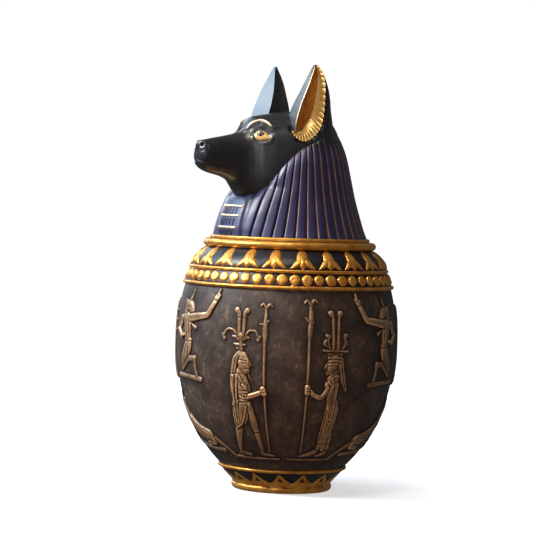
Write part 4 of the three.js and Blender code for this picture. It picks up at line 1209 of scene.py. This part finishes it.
# Upright ear of the +X side: z, then x and y of its ridge, front edge, valley, rear edge and back
EAR_SECTIONS = [
    (240, 14, -16, 27.6, -16.5, 28.8, -8, 30.4, 2, 26, 14),
    (247, 13.6, -17, 28.4, -18.5, 28, -8, 31.2, 2, 26.6, 15),
    (255, 13.2, -15.6, 28.8, -18.4, 25.2, -6, 31, 4, 26.6, 14.8),
    (266, 13.4, -12.1, 29, -15.8, 22.6, -0.4, 30, 5.6, 25.9, 13.4),
    (279.5, 16.8, -7.1, 28.7, -10.2, 24, 1.6, 29.6, 6.2, 27, 10.4),
    (289, 20.4, -4.2, 27.6, -5.7, 24.6, 1.2, 28.4, 4.6, 26.6, 6.6),
    (297.4, 24, -1.6, 25.6, -1.6, 25, -0.4, 25.8, 0.2, 24.8, 0.6),
]
EAR_RIM = [
    (27.6, -20.4, 250.5), (29.4, -17.2, 246.2), (30.6, -12.1, 244.1), (31.2, -6.2, 246),
    (31.6, -1.6, 250.3), (31.8, 1.4, 255.1), (31.5, 3.5, 263.2), (31, 4.4, 272.7),
    (30.2, 4.8, 283.4), (28.4, 4.0, 291.5), (26, 1.0, 297.2),
]
EAR_VALLEY = [
    (27.2, -17.4, 251.4), (26.8, -13.8, 251.2), (26.2, -10.4, 252.2), (25.4, -8, 254.4),
    (24.4, -5.2, 257.4), (23.3, -2.2, 261.2), (23.1, 0.2, 267.2), (23.6, 1.8, 275),
    (24.4, 2.3, 284), (25, 1.8, 291), (25.5, -0.2, 297),
]
EAR_RIBS = 23
RIB_STEPS = 12
LINING_FOOT = 249.5
LINING_TOP = 297.2


def ears():
    z = np.concatenate([np.linspace(240, 256, 14), np.linspace(257.2, 297.4, 40)])
    values = fair_curve(z, EAR_SECTIONS).reshape(len(z), 5, 2)
    ridge, front, valley, rear, back = (values[:, k] for k in range(5))
    sunk = clamp01((z - 243.5) / 3) * clamp01((266 - z) / 14) + 0.2
    valley = valley - np.array([3.2, 0.0]) * sunk[:, None]
    crest = mix(rear, back, 0.5) + [1.0, 0]
    hollow = mix(ridge, back, 0.5) - [1.2, 0]
    corners = [ridge, front, valley, rear, crest, back, hollow]
    columns = []
    for k, corner in enumerate(corners):
        following = corners[(k + 1) % len(corners)]
        for t in np.linspace(0, 1, 7)[:-1]:
            columns.append(mix(corner, following, t))
    outline = np.stack(columns, axis=1)
    points = np.concatenate([outline, np.repeat(z[:, None, None], outline.shape[1], axis=1)], axis=-1)
    tip = np.repeat(points[-1].mean(axis=0)[None, None] + [[[0, 0, 0.5]]], points.shape[1], axis=1)
    points = np.concatenate([points, tip])
    faces = grid_faces(points.shape[0], points.shape[1], wrap=True)
    for side, name in ((1, "left"), (-1, "right")):
        order = faces if side > 0 else faces[:, ::-1]
        piece(f"ear_{name}", points * [side, 1, 1], order, HEAD, sharp=32)
        ear_lining(side, name)


def ear_lining(side, name):
    """Gold inside of an ear: a smooth front wall and a ribbed rear wall with a scalloped rim."""
    knots = np.linspace(0, 1, len(EAR_RIM))[:, None]
    t = np.linspace(0, 1, EAR_RIBS * RIB_STEPS + 1)
    rim = fair_curve(t, np.concatenate([knots, np.array(EAR_RIM)], axis=1))
    valley = fair_curve(t, np.concatenate([knots, np.array(EAR_VALLEY)], axis=1))
    phase = np.abs(np.sin(np.pi * t * EAR_RIBS))
    scallop = phase ** 0.6
    q = np.linspace(0, 1, 14)[:, None]
    reach = q * (0.93 + 0.09 * scallop[None])
    surface = valley[None] + (rim - valley)[None] * reach[..., None]
    lift = 0.5 + 0.9 * (phase ** 0.7)[None] * clamp01((q - 0.3) / 0.35) + 0.6 * np.sin(np.pi * q)
    outward = np.array([0.75, -0.55, 0.1])
    surface = surface + outward * lift[..., None] * 0.7
    # Painted shade in the grooves between the ribs
    groove_shade = 0.7 * clamp01((0.36 - phase) / 0.36)[None] * clamp01((q - 0.3) / 0.25)
    faces = grid_faces(len(q), len(t))
    order = faces[:, ::-1] if side > 0 else faces
    flip = np.array([side, 1, 1])
    piece(f"ear_ribs_{name}", surface * flip, order, EAR_GOLD, {"groove_shade": groove_shade}, sharp=70)

    height = np.linspace(LINING_FOOT, LINING_TOP, 40)
    edge = fair_curve(height, EAR_SECTIONS)[:, 2:4]
    front = np.concatenate([edge, height[:, None]], axis=1) + [0.25, 0.1, 0]
    inner = fair_curve(height, [(p[2], p[0], p[1]) for p in EAR_VALLEY[2:]])
    inner = np.concatenate([inner, height[:, None]], axis=1) + [0.35, -0.25, 0]
    low = height < EAR_VALLEY[2][2]
    inner[low] = mix(front[low], np.array([EAR_VALLEY[1]]) + [0.4, 0, 0], 0.9)
    wall = np.stack([mix(front, inner, s) for s in np.linspace(0, 1, 8)])
    faces = grid_faces(len(wall), len(height))
    order = faces if side > 0 else faces[:, ::-1]
    piece(f"ear_wall_{name}", wall * flip, order, EAR_WALL, sharp=70)
    tube(f"ear_edge_{name}", (front[::3] + [-0.1, 0.45, 0]) * flip, 0.42, PALE_GOLD)
    tube(f"ear_fold_{name}", (inner[4::3] + [0.1, 0, 0]) * flip, 0.3, PALE_GOLD)


def brow_lines(skin):
    out = np.array([0.45, -0.75, 0.48])
    line = drape(BROW[1:], skin[skin[:, 0] > 1], out)
    for side, name in ((1, "left"), (-1, "right")):
        # The brow line is paint along the ridge, coloured as its painted highlight
        tube(f"brow_{name}", (line - 0.3 * out) * [side, 1, 1], 1.0, BROW_PAINT_AND_HIGHLIGHT)


def chest_place(s, z, out):
    r = fair_curve(z, WIG_FRONT) + out
    return np.stack([r * np.sin(s / r), -r * np.cos(s / r), z + 0 * r], axis=-1)


def panel():
    """Gold cross bars and rows of dark strokes on the chest."""
    bars = []
    for z, half in ((198.2, 11.0), (191.6, 10.2), (183.4, 9.8)):
        drawing = {"low": [[(-half, z, 0.8), (half, z, 0.8)]]}
        bars.append(relief_patch(drawing, chest_place, PANEL_STEP, tallest=0.9, sink=0.4))
    joined("panel_bars", bars, PALE_GOLD)
    strokes = []
    for z in (194.9, 187.5, 180.0):
        for s in np.linspace(-7.2, 7.2, 5):
            lean = rng.uniform(0.1, 0.7)
            drawing = {"low": [[(s - lean, z - 1.7, 0.6), (s + lean, z + 1.7, 0.95)]]}
            strokes.append(relief_patch(drawing, chest_place, PANEL_STEP, tallest=0.5, sink=0.4))
    joined("panel_strokes", strokes, DARK)


# Studio
PHOTO_SIZE = 533.0
CAMERA_ANGLE = 56.0
CAMERA_DISTANCE = 1630.0
CAMERA_HEIGHT = 207.0
FOCAL_PIXELS = 2315.0
AXIS_PIXEL = (291.4, 195.0)
PHOTO_ROLL = 2.0
SENSOR = 36.0
FLOOR_REACH = 9.0
# Lights as name, azimuth, elevation, distance, size, power, colour and the height that they aim at, in metres
LIGHTS = [
    ("key_left", -36, 30, 1.5, (1.4, 0.75), 27, (0.53, 0.75, 1.0), 0.24),
    ("side_left", -96, 20, 1.9, (0.6, 1.2), 8, (0.78, 0.88, 1.0), 0.16),
    ("top_front", -14, 41, 1.7, (0.45, 0.4), 35, (1.0, 0.95, 0.90), 0.16),
    ("cheek_streak", 39, 14, 2.0, (0.1, 1.0), 3.4, (0.94, 0.96, 1.0), 0.23),
    ("above", 38, 62, 1.8, (0.4, 0.4), 11, (1.0, 0.92, 0.80), 0.26),
    ("low_front", 46, 0, 0.45, (0.35, 0.05), 0.8, (1.0, 0.58, 0.38), 0.05),
]


def camera():
    turn = math.radians(CAMERA_ANGLE)
    back = Vector((math.sin(turn), -math.cos(turn), 0))
    right = Vector((math.cos(turn), math.sin(turn), 0))
    up = Vector((0, 0, 1))
    roll = math.radians(PHOTO_ROLL)
    rolled_right = right * math.cos(roll) + up * math.sin(roll)
    rolled_up = up * math.cos(roll) - right * math.sin(roll)
    middle = PHOTO_SIZE / 2
    aim = -back * FOCAL_PIXELS
    aim += rolled_right * (middle - AXIS_PIXEL[0])
    aim -= rolled_up * (middle - AXIS_PIXEL[1])
    z_axis = -aim.normalized()
    x_axis = rolled_up.cross(z_axis).normalized()
    y_axis = z_axis.cross(x_axis)
    data = bpy.data.cameras.new("camera")
    data.sensor_width = SENSOR
    data.lens = FOCAL_PIXELS / PHOTO_SIZE * SENSOR
    data.clip_end = 50
    obj = bpy.data.objects.new("camera", data)
    bpy.context.scene.collection.objects.link(obj)
    place = back * CAMERA_DISTANCE * MM + Vector((0, 0, CAMERA_HEIGHT * MM))
    matrix = Matrix((x_axis, y_axis, z_axis)).transposed().to_4x4()
    matrix.translation = place
    obj.matrix_world = matrix
    bpy.context.scene.camera = obj


def softbox(name, azimuth, elevation, distance, size, power, color, height):
    a, e = math.radians(azimuth), math.radians(elevation)
    offset = Vector((math.sin(a) * math.cos(e), -math.cos(a) * math.cos(e), math.sin(e))) * distance
    data = bpy.data.lights.new(name, "AREA")
    data.shape = "RECTANGLE"
    data.size, data.size_y = size
    data.energy = power
    data.color = color
    obj = bpy.data.objects.new(name, data)
    obj.location = Vector((0, 0, height)) + offset
    obj.rotation_euler = (-offset).to_track_quat("-Z", "Y").to_euler()
    bpy.context.scene.collection.objects.link(obj)
    return obj


def studio():
    lights = {light[0]: softbox(*light) for light in LIGHTS}
    lights["cheek_streak"].visible_diffuse = False
    lights["low_front"].visible_glossy = False
    world = bpy.data.worlds.new("studio")
    bpy.context.scene.world = world
    world.use_nodes = True
    nodes, links = world.node_tree.nodes, world.node_tree.links
    background = nodes["Background"]
    background.inputs["Color"].default_value = (1, 1, 1, 1)
    path = nodes.new("ShaderNodeLightPath")
    level = nodes.new("ShaderNodeMapRange")
    level.inputs["To Min"].default_value = 0.1
    level.inputs["To Max"].default_value = 1.0
    links.new(path.outputs["Is Camera Ray"], level.inputs["Value"])
    links.new(level.outputs[0], background.inputs["Strength"])


def floor():
    paint = Paint("floor_paint")
    paint.set(Base_Color=(0.5, 0.5, 0.52, 1), Roughness=0.9, Specular_IOR_Level=0.0)
    paint.set(Emission_Color=(1, 1, 1, 1))
    away = paint.node("ShaderNodeVectorMath", {0: paint.where()}, operation="LENGTH").outputs["Value"]
    paint.link(paint.span(away, 0.05, 0.17, 0.62, 1.0), "Emission Strength")
    mesh = bpy.data.meshes.new("floor")
    corners = [(x * FLOOR_REACH, y * FLOOR_REACH, 0) for x, y in ((-1, -1), (1, -1), (1, 1), (-1, 1))]
    mesh.from_pydata(corners, [], [(0, 1, 2, 3)])
    mesh.materials.append(paint.material)
    obj = bpy.data.objects.new("floor", mesh)
    bpy.context.scene.collection.objects.link(obj)
    obj.visible_diffuse = False
    obj.visible_glossy = False


bpy.context.scene.view_settings.view_transform = "Standard"
camera()
studio()
floor()
vessel()
figure_pieces()
gold_ring("foot_roll", FOOT_RADIUS - FOOT_ROLL_TUBE, FOOT_ROLL_TUBE, FOOT_ROLL_TUBE,
          FOOT_GOLD, 0.1, foot_bare)
leaf_band()
gold_ring("foot_ring", BODY_FOOT_RADIUS, FOOT_RING_Z, RING_TUBE)
gold_ring("bead_ring", SHOULDER_RADIUS + 0.6, BEAD_RING_Z, BEAD_RING_TUBE)
seam_mark()
beads()
gold_ring("collar_ring", COLLAR_RADIUS + 0.2, COLLAR_RING_Z, RING_TUBE)
lotus_band()
rim = half_roll(RIM_RADIUS, RIM_Z, RIM_TUBE, 20)
moulding("rim_roll", [(RIM_RADIUS - 2, RIM_Z - RIM_TUBE + 0.4), *rim, (MOUTH_RADIUS + 0.6, JAR_TOP)])
lid_base()
wig()
skin = head()
ears()
eyes(skin)
brow_lines(skin)
panel()
